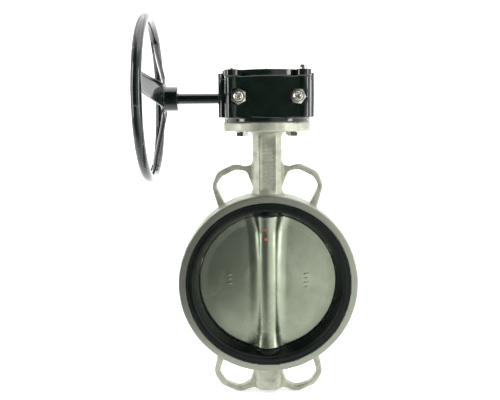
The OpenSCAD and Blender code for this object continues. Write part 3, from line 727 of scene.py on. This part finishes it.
def discHeight(x, z):
    # half thickness of the disc at a point of its plane
    rho = np.hypot(x, z)
    taper = (rho - disc["taperFrom"]) / (disc["radius"] - disc["taperFrom"] - disc["taperTo"])
    plate = disc["middle"] - (disc["middle"] - disc["rim"]) * np.clip(taper, 0, 1)
    chamfer = np.clip((rho - disc["radius"] + disc["polish"]) / disc["polish"], 0, 1)
    plate = plate - disc["polish"] * chamfer ** 1.35
    lift = np.clip((np.abs(z) - disc["end"] + disc["flare"]) / disc["flare"], 0, 1)
    hub = disc["hub"] + (disc["hubEnd"] - disc["hub"]) * lift ** 1.3
    # the hub's round top runs into the plate by a hollow fillet
    level = plate + disc["fillet"]
    reach = np.sqrt((hub + disc["fillet"]) ** 2 - level ** 2)
    side = np.abs(x)
    dome = np.sqrt(np.clip(hub ** 2 - side ** 2, 0, None))
    hollow = level - np.sqrt(np.clip(disc["fillet"] ** 2 - (side - reach) ** 2, 0, None))
    height = np.where(side < reach * hub / (hub + disc["fillet"]), dome,
                      np.where(side < reach, hollow, plate))
    toEnd = np.clip(1 - (disc["end"] - np.abs(z)) / disc["endRound"], 0, 1)
    return np.maximum(height, plate) - disc["endDrop"] * toEnd ** 2 * (side < disc["endWide"])


def makeDisc():
    inner = np.linspace(-31, 31, 81) * mm  # finer columns over the hub
    start = math.asin(31.6 * mm / disc["radius"])
    outer = disc["radius"] * np.sin(np.linspace(start, math.pi / 2, 44))
    columns = np.concatenate([-outer[::-1], inner, outer])
    share = np.sin(np.linspace(-1, 1, 77) * math.pi / 2)
    rings = []
    for x in columns:
        limit = min(disc["end"], math.sqrt(max(disc["radius"] ** 2 - x ** 2, 0)))
        z = share * limit
        half = discHeight(np.full_like(z, x), z)
        front = [(x, -h, a) for h, a in zip(half, z)]
        backSide = [(x, h, a) for h, a in zip(half[::-1], z[::-1])]
        rings.append(front + [(x, 0, limit)] + backSide + [(x, 0, -limit)])
    shape = loft(rings)
    makePiece("discPlate", (shape[0], shape[1][:-2]), looks["disc_stainless"], "disc", sharp=50)


def makeDiscMarks():
    # plain raised marks on both wings, and two touches of inspection paint on the hub
    marks = {"out": 57 * mm, "top": 11 * mm, "pitch": 6.6 * mm, "long": 8.5 * mm, "short": 5.5 * mm,
             "thick": 2.6 * mm, "round": 1.0 * mm, "proud": 0.5 * mm,
             "dots": ((-4.1 * mm, 79.5 * mm, 2.2 * mm), (-2.8 * mm, 65.5 * mm, 2.4 * mm))}
    x, y, z = np.eye(3)
    parts = []
    for side, count in ((-1, 3), (1, 4)):
        for i in range(count):
            place = np.array((side * marks["out"], 0, marks["top"] - i * marks["pitch"]))
            place[1] = -discHeight(place[0], place[2])
            parts.append(raisedPad(marks["short"] if i % 2 else marks["long"], marks["thick"],
                                   marks["round"], marks["proud"], place, x, z, -y))
    makePiece("discMarks", merged(parts), looks["disc_stainless"], "disc", replaced=False)
    dots = []
    for across, level, radius in marks["dots"]:
        surface = -discHeight(across, level)
        tilt = np.array((across, surface, 0)) / np.hypot(across, surface)
        profile = [(radius, -0.6 * mm), (radius, 0.0), (radius * 0.8, 0.16 * mm),
                   (radius * 0.4, 0.24 * mm), (0.02 * mm, 0.26 * mm)]
        dots.append(lathe(profile, (across, surface, level), tilt, 20))
    makePiece("paintDots", merged(dots), inspectionPaint(), "disc", replaced=False)


makeBody()
makeCastMarks()
makeSeat()
makeDisc()
makeDiscMarks()
print("valve pieces built")


def softenedCasting(name, node, edge, material):
    # keeps a casting's flats and holes and rounds its edges
    piece = weldedCopy(name, node)
    bevel = piece.modifiers.new("edges", "BEVEL")
    bevel.width = edge
    bevel.segments = 3
    bevel.limit_method = "ANGLE"
    bevel.angle_limit = math.radians(32)
    bevel.use_clamp_overlap = False
    bevel.miter_outer = "MITER_ARC"
    applyModifiers(piece)
    finishMesh(piece.data, 50)
    weighted = piece.modifiers.new("normals", "WEIGHTED_NORMAL")
    weighted.keep_sharp = True
    weighted.weight = 60
    applyModifiers(piece)
    joinFrame(piece, material, node)


def hexHeadRows(turn, flats, low, high, chamfered):
    # a hexagon with its corners turned off at its low end, its high end or both
    shape = hexRadius(turn, flats)
    over = np.maximum(0, shape - flats / 2 * 0.985) * math.tan(math.radians(30))
    inner = np.minimum(shape, flats / 2 * 0.955)
    rows = [(shape, low)] if chamfered == "high" else [(inner, low), (shape, low + over)]
    return rows + ([(shape, high)] if chamfered == "low" else [(shape, high - over), (inner, high)])


def sortedBoxes(node):
    # each screw's middle, with its lowest and highest level
    found = sorted(looseBoxes(node), key=lambda b: tuple(b[0]))
    return [(((low[0] + high[0]) / 2, (low[1] + high[1]) / 2, 0), low[2], high[2]) for low, high in found]


def makeCoverScrews():
    screw = {"flats": 10 * mm, "head": 4 * mm, "shank": 3 * mm, "pitch": 1.0 * mm, "depth": 0.5 * mm,
             "stamp": 3.9 * mm, "twist": (0.3, 1.0, 0.1, 0.7)}
    washer = {"radius": 6 * mm, "flat": 0.9 * mm, "spring": 5.1 * mm, "hole": 3.15 * mm,
              "stack": 2 * mm, "gap": 0.1 * mm, "split": 0.12, "rise": 0.12 * mm}
    screws, washers = [], []
    z = np.array((0, 0, 1.0))
    turn = roundAngles(48)
    for i, (middle, low, high) in enumerate(sortedBoxes("cover_screws")):
        seat = high - screw["head"]
        rows = [(0.6 * screw["shank"], low)]
        rows += screwRings(turn, screw["shank"], low + 0.8 * mm, seat - 3 * mm, screw["pitch"],
                           screw["depth"])
        rows += [(screw["shank"], seat)]
        rows += hexHeadRows(turn, screw["flats"], seat, high, "high")
        rows += [(screw["stamp"], high - 0.12 * mm)]
        screws.append(turned(rows, turn + screw["twist"][i], middle, z))
        base = seat - washer["stack"]
        top = base + washer["flat"]
        washers.append(lathe(roundCorners([
            (washer["hole"], base, 0.2 * mm), (washer["radius"], base, 0.25 * mm),
            (washer["radius"], top, 0.25 * mm), (washer["hole"], top, 0.2 * mm)], 3),
            middle, z, 48, closed=True))
        # split spring washer: an open ring that climbs a little
        floor, roof = top + washer["gap"], seat - washer["gap"]
        section = [(washer["hole"], floor), (washer["spring"], floor),
                   (washer["spring"], roof), (washer["hole"], roof)]
        spring = []
        for k, a in enumerate(np.linspace(washer["split"], 2 * math.pi - washer["split"], 40)):
            rise = (k / 39 - 0.5) * washer["rise"]
            spring.append([np.array(middle) + np.array((math.cos(a) * r, math.sin(a) * r, h + rise))
                           for r, h in section])
        washers.append(loft(spring))
    makePiece("coverScrews", merged(screws), looks["zinc_plate"], "cover_screws", sharp=30)
    makePiece("coverWashers", merged(washers), looks["zinc_plate"], "cover_washers", sharp=30)


def makeFlangeBolts():
    bolt = {"flats": 16 * mm, "shank": 5 * mm, "pitch": 1.5 * mm, "depth": 0.7 * mm, "head": 6.4 * mm,
            "collar": 7.5 * mm, "collarThick": 0.5 * mm, "twist": (0.2, 0.9, 0.5, 0.05)}
    turn = roundAngles(60)
    parts = []
    for i, (middle, low, high) in enumerate(sortedBoxes("mounting_bolts")):
        seat = low + bolt["head"]
        under = seat - bolt["collarThick"]
        rows = [(5.8 * mm, low + 0.25 * mm), (6.2 * mm, low)]
        rows += hexHeadRows(turn, bolt["flats"], low, under, "low")
        rows += [(bolt["collar"], under), (bolt["collar"], seat), (bolt["shank"], seat)]
        rows += screwRings(turn, bolt["shank"], seat + 2 * mm, high - 1 * mm, bolt["pitch"], bolt["depth"])
        rows += [(0.7 * bolt["shank"], high)]
        parts.append(turned(rows, turn + bolt["twist"][i], middle, (0, 0, 1)))
    makePiece("flangeBolts", merged(parts), looks["zinc_plate"], "mounting_bolts", sharp=30)


def makeStopScrews():
    screw = {"pitch": 1.75 * mm, "depth": 0.9 * mm, "socket": 6 * mm, "deep": 5.5 * mm,
             "closed": ("closed_stop_screw", "closedStopScrew", 0.25),
             "open": ("open_stop_screw", "openStopScrew", 0.6)}
    nutFlats = 19 * mm
    forward = np.array((0, -1.0, 0))
    turn = roundAngles(72)
    wall, face = -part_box("stop_lock_nuts")[1][1], -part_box("stop_lock_nuts")[0][1]
    nuts = []
    for node, name, twist in (screw["closed"], screw["open"]):
        low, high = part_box(node)
        radius = (high[0] - low[0]) / 2
        middle = ((low[0] + high[0]) / 2, 0, (low[2] + high[2]) / 2)
        tip, end = -high[1], -low[1]
        hole = hexRadius(turn, screw["socket"])
        floor = end - screw["deep"]
        rows = [(radius * 0.55, tip), (radius * 0.82, tip + 1.6 * mm)]
        rows += screwRings(turn, radius, tip + 2 * mm, end - 0.6 * mm, screw["pitch"], screw["depth"], 6)
        rows += [(radius * 0.86, end), (screw["socket"] * 0.62, end), (hole, end - 0.5 * mm),
                 (hole, floor), (0.1 * mm, floor - 1.4 * mm)]
        makePiece(name, turned(rows, turn + twist, middle, forward), looks["zinc_plate"], node, sharp=30)
        rows = [(radius + 0.05 * mm, wall + 0.5 * mm), (radius + 0.6 * mm, wall + 0.05 * mm)]
        rows += hexHeadRows(turn, nutFlats, wall, face, "both")
        rows += [(radius + 0.9 * mm, face), (radius + 0.05 * mm, face - 0.7 * mm)]
        nuts.append(turned(rows, turn + twist * 1.7, middle, forward, closed=True))
    makePiece("lockNuts", merged(nuts), looks["zinc_plate"], "stop_lock_nuts", sharp=28)


def makeDial():
    dial = {"edge": 0.7 * mm, "groove": 0.35 * mm, "plate": 1.6 * mm, "neck": 14 * mm, "hole": 3.1 * mm,
            "ticks": 19, "tickLength": 3.6 * mm, "tickWidth": 0.9 * mm,
            "arrow": ((-28, 3, 0.8), (-28, -3, 0.8), (12, -3, 0.5), (12, -8, 0.8), (27, 0, 1.0),
                      (12, 8, 0.8), (12, 3, 0.5))}
    low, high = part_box("position_indicator")
    radius = high[0]
    face = high[2] - 0.6 * mm
    under = face - dial["plate"]
    dip = face - dial["groove"]
    profile = roundCorners([
        (dial["hole"], low[2], 0), (dial["neck"], low[2], 0.4 * mm), (dial["neck"], under, 0),
        (radius, under, 0.3 * mm), (radius, face, dial["edge"]), (radius - 3.2 * mm, face, 0.3 * mm),
        (radius - 3.5 * mm, dip, 0.2 * mm), (radius - 4.3 * mm, dip, 0.2 * mm),
        (radius - 4.6 * mm, face, 0.3 * mm), (dial["hole"], face, 0)], 4)
    parts = [lathe(profile, (0, 0, 0), (0, 0, 1), 160, closed=True)]
    rings = []
    for shrink, level in ((1.0, -0.5 * mm), (1.0, 0.3 * mm), (0.985, 0.52 * mm), (0.95, 0.6 * mm)):
        flat = roundCorners([(a * mm, b * mm * shrink, r * mm) for a, b, r in dial["arrow"]], 3)
        rings.append([np.array((p[0] * shrink, p[1] * shrink, face + level)) for p in flat])
    parts.append(loft([ring[::-1] for ring in rings]))
    makePiece("positionDial", merged(parts), looks["black_paint"], "position_indicator", sharp=40)
    # raised scale on the cover around the dial, from closed to open
    scale = []
    up = np.array((0, 0, 1.0))
    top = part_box("gearbox_cover")[1][2]
    for i in range(dial["ticks"]):
        angle = math.radians(180 - 5 * i)
        radial = np.array((math.cos(angle), math.sin(angle), 0))
        long = dial["tickLength"] * (1.0 if i % 9 == 0 else 0.62)
        place = radial * (radius + 1.4 * mm + long / 2) + top * up
        scale.append(raisedPad(long, dial["tickWidth"], 0.3 * mm, 0.35 * mm, place, radial,
                               np.cross(up, radial), up, 0.5 * mm))
    makePiece("coverScale", merged(scale), looks["black_paint"], "gearbox_cover", replaced=False)


def makeDialScrew():
    screw = {"shank": 3 * mm, "head": 5 * mm, "headHigh": 2.4 * mm, "pitch": 1.0 * mm, "depth": 0.5 * mm,
             "socket": 4 * mm, "deep": 1.9 * mm}
    low, high = (corner[2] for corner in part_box("indicator_screw"))
    turn = roundAngles(48)
    seat = high - screw["headHigh"]
    hole = hexRadius(turn, screw["socket"])
    rows = [(2.2 * mm, low)]
    rows += screwRings(turn, screw["shank"], low + 0.8 * mm, seat - 2 * mm, screw["pitch"], screw["depth"])
    rows += [(screw["shank"], seat), (screw["head"], seat), (screw["head"], high - 1.0 * mm),
             (4.6 * mm, high - 0.35 * mm), (3.9 * mm, high), (2.5 * mm, high), (hole, high - 0.3 * mm),
             (hole, high - screw["deep"]), (0.1 * mm, high - screw["deep"] - 0.3 * mm)]
    makePiece("dialScrew", turned(rows, turn, (0, 0, 0), (0, 0, 1)), looks["zinc_plate"],
              "indicator_screw", sharp=30)


def makeTunnelCap():
    cap = {"edge": 0.9 * mm, "lip": 3.5 * mm, "slope": 0.8 * mm, "recess": 1.2 * mm}
    low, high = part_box("tunnel_end_cap")
    middle = (0, (low[1] + high[1]) / 2, (low[2] + high[2]) / 2)
    radius = (high[1] - low[1]) / 2
    inside = high[0] - cap["recess"]
    profile = [(0.1 * mm, low[0]), (radius, low[0]), (radius, high[0] - cap["edge"]),
               (radius - cap["edge"], high[0]), (radius - cap["lip"], high[0]),
               (radius - cap["lip"] - cap["slope"], inside), (0.1 * mm, inside)]
    makePiece("tunnelCap", lathe(profile, middle, (1, 0, 0), 96), looks["black_paint"], "tunnel_end_cap",
              sharp=30)


def makeBossPlug():
    plug = {"socket": 10 * mm, "deep": 7 * mm, "pitch": 1.5 * mm, "depth": 0.8 * mm,
            "groove": 2.7 * mm, "grooveLow": 5.4 * mm, "grooveHigh": 2.6 * mm}
    low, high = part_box("bottom_plug")
    radius = high[0]
    low, high = low[2], high[2]
    turn = roundAngles(72)
    hole = hexRadius(turn, plug["socket"])
    rows = [(0.1 * mm, low + plug["deep"] + 0.6 * mm), (hole, low + plug["deep"]),
            (hole, low + 0.7 * mm), (6.4 * mm, low), (radius - 1 * mm, low)]
    rows += screwRings(turn, radius, low + 1 * mm, high - 6 * mm, plug["pitch"], plug["depth"])
    rows += [(radius - plug["groove"], high - plug["grooveLow"]),
             (radius - plug["groove"], high - plug["grooveHigh"]), (radius, high - 2.4 * mm),
             (radius, high)]
    makePiece("bossPlug", turned(rows, turn, (0, 0, 0), (0, 0, 1)), looks["turned_steel"], "bottom_plug",
              sharp=30)


softenedCasting("gearHousing", "gearbox_housing", 1.5 * mm, looks["black_paint"])
softenedCasting("gearCover", "gearbox_cover", 1.2 * mm, looks["black_paint"])
makeCoverScrews()
makeFlangeBolts()
makeStopScrews()
makeDial()
makeDialScrew()
makeTunnelCap()
makeBossPlug()
print("gearbox pieces built")


wheel = {"plate": 3.2 * mm, "curl": 3.4 * mm, "crown": 1.0 * mm, "root": 36 * mm, "tip": 28.5 * mm,
         "armAngles": (12, 132, 252), "rimSteps": 240, "rimSides": 40, "dent": 0.16 * mm,
         "skin": {"voxel": 0.8 * mm, "soften": 4, "even": 14, "wave": 0.0, "waveSize": 20 * mm}}
rimLow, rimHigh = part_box("handwheel_rim")
rimMiddle = np.array((rimLow + rimHigh) / 2)
rimTube = (rimHigh[0] - rimLow[0]) / 2
rimRing = (rimHigh[1] - rimLow[1]) / 2 - rimTube
hubLow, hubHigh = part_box("handwheel_hub")
hubRadius = (hubHigh[1] - hubLow[1]) / 2


def makeRim():
    rings = []
    for t in roundAngles(wheel["rimSteps"]):
        out = np.array((0, math.cos(t), math.sin(t)))
        centre = rimMiddle + out * rimRing
        section = []
        for a in roundAngles(wheel["rimSides"]):
            arm = np.array((math.cos(a), 0, 0)) + out * math.sin(a)
            point = Vector(centre + arm * rimTube)
            dent = noise.noise(point / 0.021) * wheel["dent"] + noise.noise(point / 0.006) * 0.05 * mm
            section.append(centre + arm * (rimTube - 0.2 * mm + dent))
        rings.append(section)
    makePiece("wheelRim", loft(rings, closed=True), wheelEnamel, "handwheel_rim", sharp=60)


def makeSpider():
    # pressed plate with three arms, each with its edges curled towards the gearbox
    hubFace = hubLow[0] - 0.02 * mm
    reach = rimRing
    plate = wheel["plate"]
    parts = []
    for angle in wheel["armAngles"]:
        a = math.radians(angle)
        out = np.array((0, -math.cos(a), math.sin(a)))
        side = np.cross((1, 0, 0), out)
        rings = []
        for s in np.linspace(0, 1, 30):
            radius = 6 * mm + s * (reach - 10 * mm)
            run = np.clip((radius - 19 * mm) / (reach - 27 * mm), 0, 1)
            ease = run * run * (3 - 2 * run) * 0.25 + run * 0.75
            x = hubFace + (rimMiddle[0] - hubFace + 1.6 * mm) * ease
            half = (wheel["root"] + (wheel["tip"] - wheel["root"]) * run) / 2
            fade = min(1, max(0, (radius - 15 * mm) / (12 * mm))) * min(1, (reach - radius) / (9 * mm))
            section = []
            for w in np.linspace(-1, 1, 15):
                edge = max(0, abs(w) - 0.74) / 0.26
                lift = wheel["crown"] * (w * w - 1) + wheel["curl"] * edge ** 1.6
                section.append((w * half, lift * fade))
            loop = section + [(w, h - plate) for w, h in section[::-1]]
            rings.append([np.array((x + h, rimMiddle[1], rimMiddle[2])) + out * radius + side * w
                          for w, h in loop])
        parts.append(loft(rings))
    back = hubFace - plate
    parts.append(lathe(roundCorners([
        (0.1 * mm, hubFace, 0), (21 * mm, hubFace, 0.8 * mm), (21 * mm, back, 1.4 * mm),
        (14 * mm, back, 1.0 * mm), (11.5 * mm, back - 0.8 * mm, 1.0 * mm),
        (0.1 * mm, back - 0.8 * mm, 0)], 4), rimMiddle * (0, 1, 1), (1, 0, 0), 96))
    spider = meshObject("wheelSpider", merged(parts), 180)
    castSkin(spider, wheel["skin"], lambda points: np.zeros(len(points), bool))
    joinFrame(spider, wheelEnamel, "handwheel_spider")


def beadRing(centre, out, size):
    return [centre + size * (math.cos(b) * out + math.sin(b) * np.array((1.0, 0, 0)))
            for b in roundAngles(12)]


def makeWelds():
    # bead of weld along each arm's end on the rim, and a ring of it round the hub
    parts = []
    span = wheel["tip"] / 2 / rimRing
    for angle in wheel["armAngles"]:
        for offset, lean in ((1.2 * mm, 0.75), (-2.6 * mm, -0.75)):
            rings = []
            for k, t in enumerate(np.linspace(-span, span, 40)):
                a = math.radians(angle) + t
                out = np.array((0, -math.cos(a), math.sin(a)))
                centre = rimMiddle + out * (rimRing - rimTube * math.cos(lean) * 0.99)
                centre[0] += rimTube * math.sin(lean) * 0.8 + offset * 0.2
                end = math.sqrt(max(0.02, 1 - (t / span) ** 6))
                size = (1.5 + 0.25 * math.sin(k * 1.9) + 0.15 * math.sin(k * 4.7)) * mm * end
                rings.append(beadRing(centre, out, size))
            parts.append(loft(rings))
    rings = []
    for k, t in enumerate(roundAngles(120)):
        out = np.array((0, math.cos(t), math.sin(t)))
        size = (1.7 + 0.22 * math.sin(k * 0.9) + 0.12 * math.sin(k * 2.3)) * mm
        centre = np.array((hubLow[0] + 0.3 * mm, *rimMiddle[1:])) + out * (hubRadius - 0.1 * mm)
        rings.append(beadRing(centre, out, size))
    parts.append(loft(rings, closed=True))
    makePiece("wheelWelds", merged(parts), wheelEnamel, "handwheel_spider", replaced=False, sharp=60)


def makeHubAndShaft():
    middle = np.array((0, (hubLow[1] + hubHigh[1]) / 2, (hubLow[2] + hubHigh[2]) / 2))
    shaftLow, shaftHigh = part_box("input_shaft")
    shaft = (shaftHigh[1] - shaftLow[1]) / 2
    start, end = shaftLow[0], shaftHigh[0]
    chamfer = 0.8 * mm
    x = (1, 0, 0)
    hub = roundCorners([
        (0.1 * mm, hubLow[0], 0), (hubRadius, hubLow[0], 0), (hubRadius, hubHigh[0], 1.3 * mm),
        (shaft + 1.6 * mm, hubHigh[0], 0.5 * mm), (shaft, hubHigh[0] - 1.2 * mm, 0),
        (shaft, hubLow[0] + 1 * mm, 0), (0.1 * mm, hubLow[0] + 1 * mm, 0)], 5)
    makePiece("wheelHub", lathe(hub, middle, x, 128), wheelEnamel, "handwheel_hub", sharp=40)
    bar = [(0.1 * mm, start), (shaft - chamfer, start), (shaft, start + chamfer)]
    for level in np.linspace(start + 2 * mm, end - 2 * mm, 60):
        bar.append((shaft - 0.03 * mm + noise.noise((level * 90, 0.3, 0)) * 0.03 * mm, level))
    bar += [(shaft, end - chamfer), (shaft - chamfer, end), (0.1 * mm, end)]
    makePiece("inputShaft", lathe(bar, middle, x, 72), looks["black_paint"], "input_shaft", sharp=40)


def makeWheelPin():
    # rolled spring pin through hub and shaft, open along one side
    pin = {"taper": 0.86, "wall": 0.62, "slot": 0.14, "short": 0.5 * mm, "lead": 0.8 * mm}
    low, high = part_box("handwheel_pin")
    radius = (high[0] - low[0]) / 2
    middle = np.array((hubLow + hubHigh) / 2)
    middle[0] = (low[0] + high[0]) / 2
    a = math.radians(wheel["armAngles"][0])
    half = hubRadius - pin["short"]
    u, v, w = axes((0, math.sin(a), math.cos(a)))
    rings = []
    for level, size in ((-half, pin["taper"]), (-half + pin["lead"], 1.0), (half - pin["lead"], 1.0),
                        (half, pin["taper"])):
        loop = [(radius * size, t) for t in np.linspace(pin["slot"], 2 * math.pi - pin["slot"], 36)]
        loop += [(radius * pin["wall"], t) for t in np.linspace(2 * math.pi - 0.2, 0.2, 36)]
        rings.append([middle + r * (math.cos(t) * u + math.sin(t) * v) + level * w for r, t in loop])
    makePiece("wheelPin", loft(rings), looks["spring_steel"], "handwheel_pin", sharp=35)


makeRim()
makeSpider()
makeWelds()
makeHubAndShaft()
makeWheelPin()
print("handwheel pieces built")


def makeStage():
    stage = {"level": cadLow[2], "front": -3.2, "back": 2.6, "side": 4.5, "rise": 3.0, "bend": 1.2,
             "glow": 1.1, "paper": ((0.90, 0.90, 0.90), (0.94, 0.94, 0.94)),
             "nearGlow": (0.25, 0.25, 0.25), "farGlow": (1.0, 1.0, 1.0),
             "reflectedPaperDark": (0.06, 0.06, 0.06), "reflectedGlowDark": (0.02, 0.02, 0.02)}
    path = [(stage["front"], stage["level"])]
    for step in range(25):
        turn = math.pi / 2 * step / 24
        path.append((stage["back"] - stage["bend"] + stage["bend"] * math.sin(turn),
                     stage["level"] + stage["bend"] * (1 - math.cos(turn))))
    path.append((stage["back"], stage["level"] + stage["rise"]))
    verts = [(s * stage["side"], y, z) for y, z in path for s in (-1, 1)]
    faces = [(2 * i, 2 * i + 1, 2 * i + 3, 2 * i + 2) for i in range(len(path) - 1)]
    mesh = bpy.data.meshes.new("paleFloor")
    mesh.from_pydata(verts, [], faces)
    mesh.shade_smooth()
    floor = bpy.data.objects.new("paleFloor", mesh)
    bpy.context.scene.collection.objects.link(floor)
    paper, tree, place = newMaterial("palePaper", Roughness=0.9, Emission_Strength=stage["glow"])
    shader = tree.nodes["Principled BSDF"]
    pale = mixColour(tree, cloudy(tree, place, 900.0), *stage["paper"])
    where = addNode(tree, "ShaderNodeSeparateXYZ", {0: place})
    # painted dark reflection: metal and gloss see the floor in front and to the left dark, as if a black
    # board lay there, though the camera sees it pale
    ray = addNode(tree, "ShaderNodeLightPath")
    darkReflectionArea = times(tree, between(tree, where.outputs["Y"], -0.12, -0.40),
                 between(tree, where.outputs["X"], 0.30, -0.15))
    paintedDarkReflection = times(tree, ray.outputs["Is Glossy Ray"], darkReflectionArea)
    tree.links.new(mixColour(tree, paintedDarkReflection, pale, stage["reflectedPaperDark"]), shader.inputs["Base Color"])
    # the paper glows more towards the back, so that no horizon shows
    far = between(tree, where.outputs["Y"], -0.25, 1.2)
    glow = mixColour(tree, far, stage["nearGlow"], stage["farGlow"])
    tree.links.new(mixColour(tree, paintedDarkReflection, glow, stage["reflectedGlowDark"]), shader.inputs["Emission Color"])
    mesh.materials.append(paper)


def softLight(name, place, size, power):
    data = bpy.data.lights.new(name, "AREA")
    data.shape = "RECTANGLE"
    data.size, data.size_y = size
    data.energy = power
    lamp = bpy.data.objects.new(name, data)
    lamp.location = place
    aim = (cadLow + cadHigh) / 2 - Vector(place)
    lamp.rotation_euler = aim.to_track_quat("-Z", "Y").to_euler()
    bpy.context.scene.collection.objects.link(lamp)


def softStep(tree, value, ends, low, high):
    return addNode(tree, "ShaderNodeMapRange", {
        "Value": value, "From Min": ends[0], "From Max": ends[1], "To Min": low, "To Max": high},
        interpolation_type="SMOOTHSTEP").outputs[0]


def makeWorld():
    # pale room, dark behind the camera so that gloss and metal have something to show
    room = {"left": 0.02, "right": 0.75, "side": 1.45, "seen": 1.0,
            "across": (-0.02, 0.40), "around": (-0.55, 0.15)}
    world = bpy.data.worlds.new("paleRoom")
    bpy.context.scene.world = world
    world.use_nodes = True
    tree = world.node_tree
    ground = tree.nodes["Background"]
    ray = addNode(tree, "ShaderNodeTexCoord").outputs["Generated"]
    where = addNode(tree, "ShaderNodeSeparateXYZ", {0: ray})
    across = softStep(tree, where.outputs["X"], room["across"], room["left"], room["right"])
    front = softStep(tree, where.outputs["Y"], room["around"], across, room["side"])
    path = addNode(tree, "ShaderNodeLightPath")
    seen = crossfade(tree, path.outputs["Is Camera Ray"], front, room["seen"])
    tree.links.new(seen, ground.inputs["Strength"])
    ground.inputs["Color"].default_value = (1.0, 1.0, 1.0, 1)


def makeCamera():
    view = {"place": (-0.0256, -0.950, 0.2478), "down": 7.594, "roll": -0.5, "lens": 46.98}
    data = bpy.data.cameras.new("camera")
    data.sensor_width = 36
    data.lens = view["lens"]
    data.clip_start, data.clip_end = 0.05, 50
    camera = bpy.data.objects.new("camera", data)
    camera.location = view["place"]
    tilt = Matrix.Rotation(math.radians(90 - view["down"]), 4, "X")
    camera.rotation_euler = (tilt @ Matrix.Rotation(math.radians(view["roll"]), 4, "Z")).to_euler()
    bpy.context.scene.collection.objects.link(camera)
    bpy.context.scene.camera = camera


makeStage()
makeWorld()
softLight("topSoftbox", (0.1, 0.2, 1.5), (1.8, 1.4), 13)
softLight("rightSoftbox", (1.2, -0.70, 0.35), (0.35, 1.5), 13)
softLight("leftSoftbox", (-1.35, -0.5, 0.35), (0.35, 1.5), 14)
makeCamera()
bpy.context.scene.view_settings.view_transform = "Standard"
print("stage, lights and camera set")
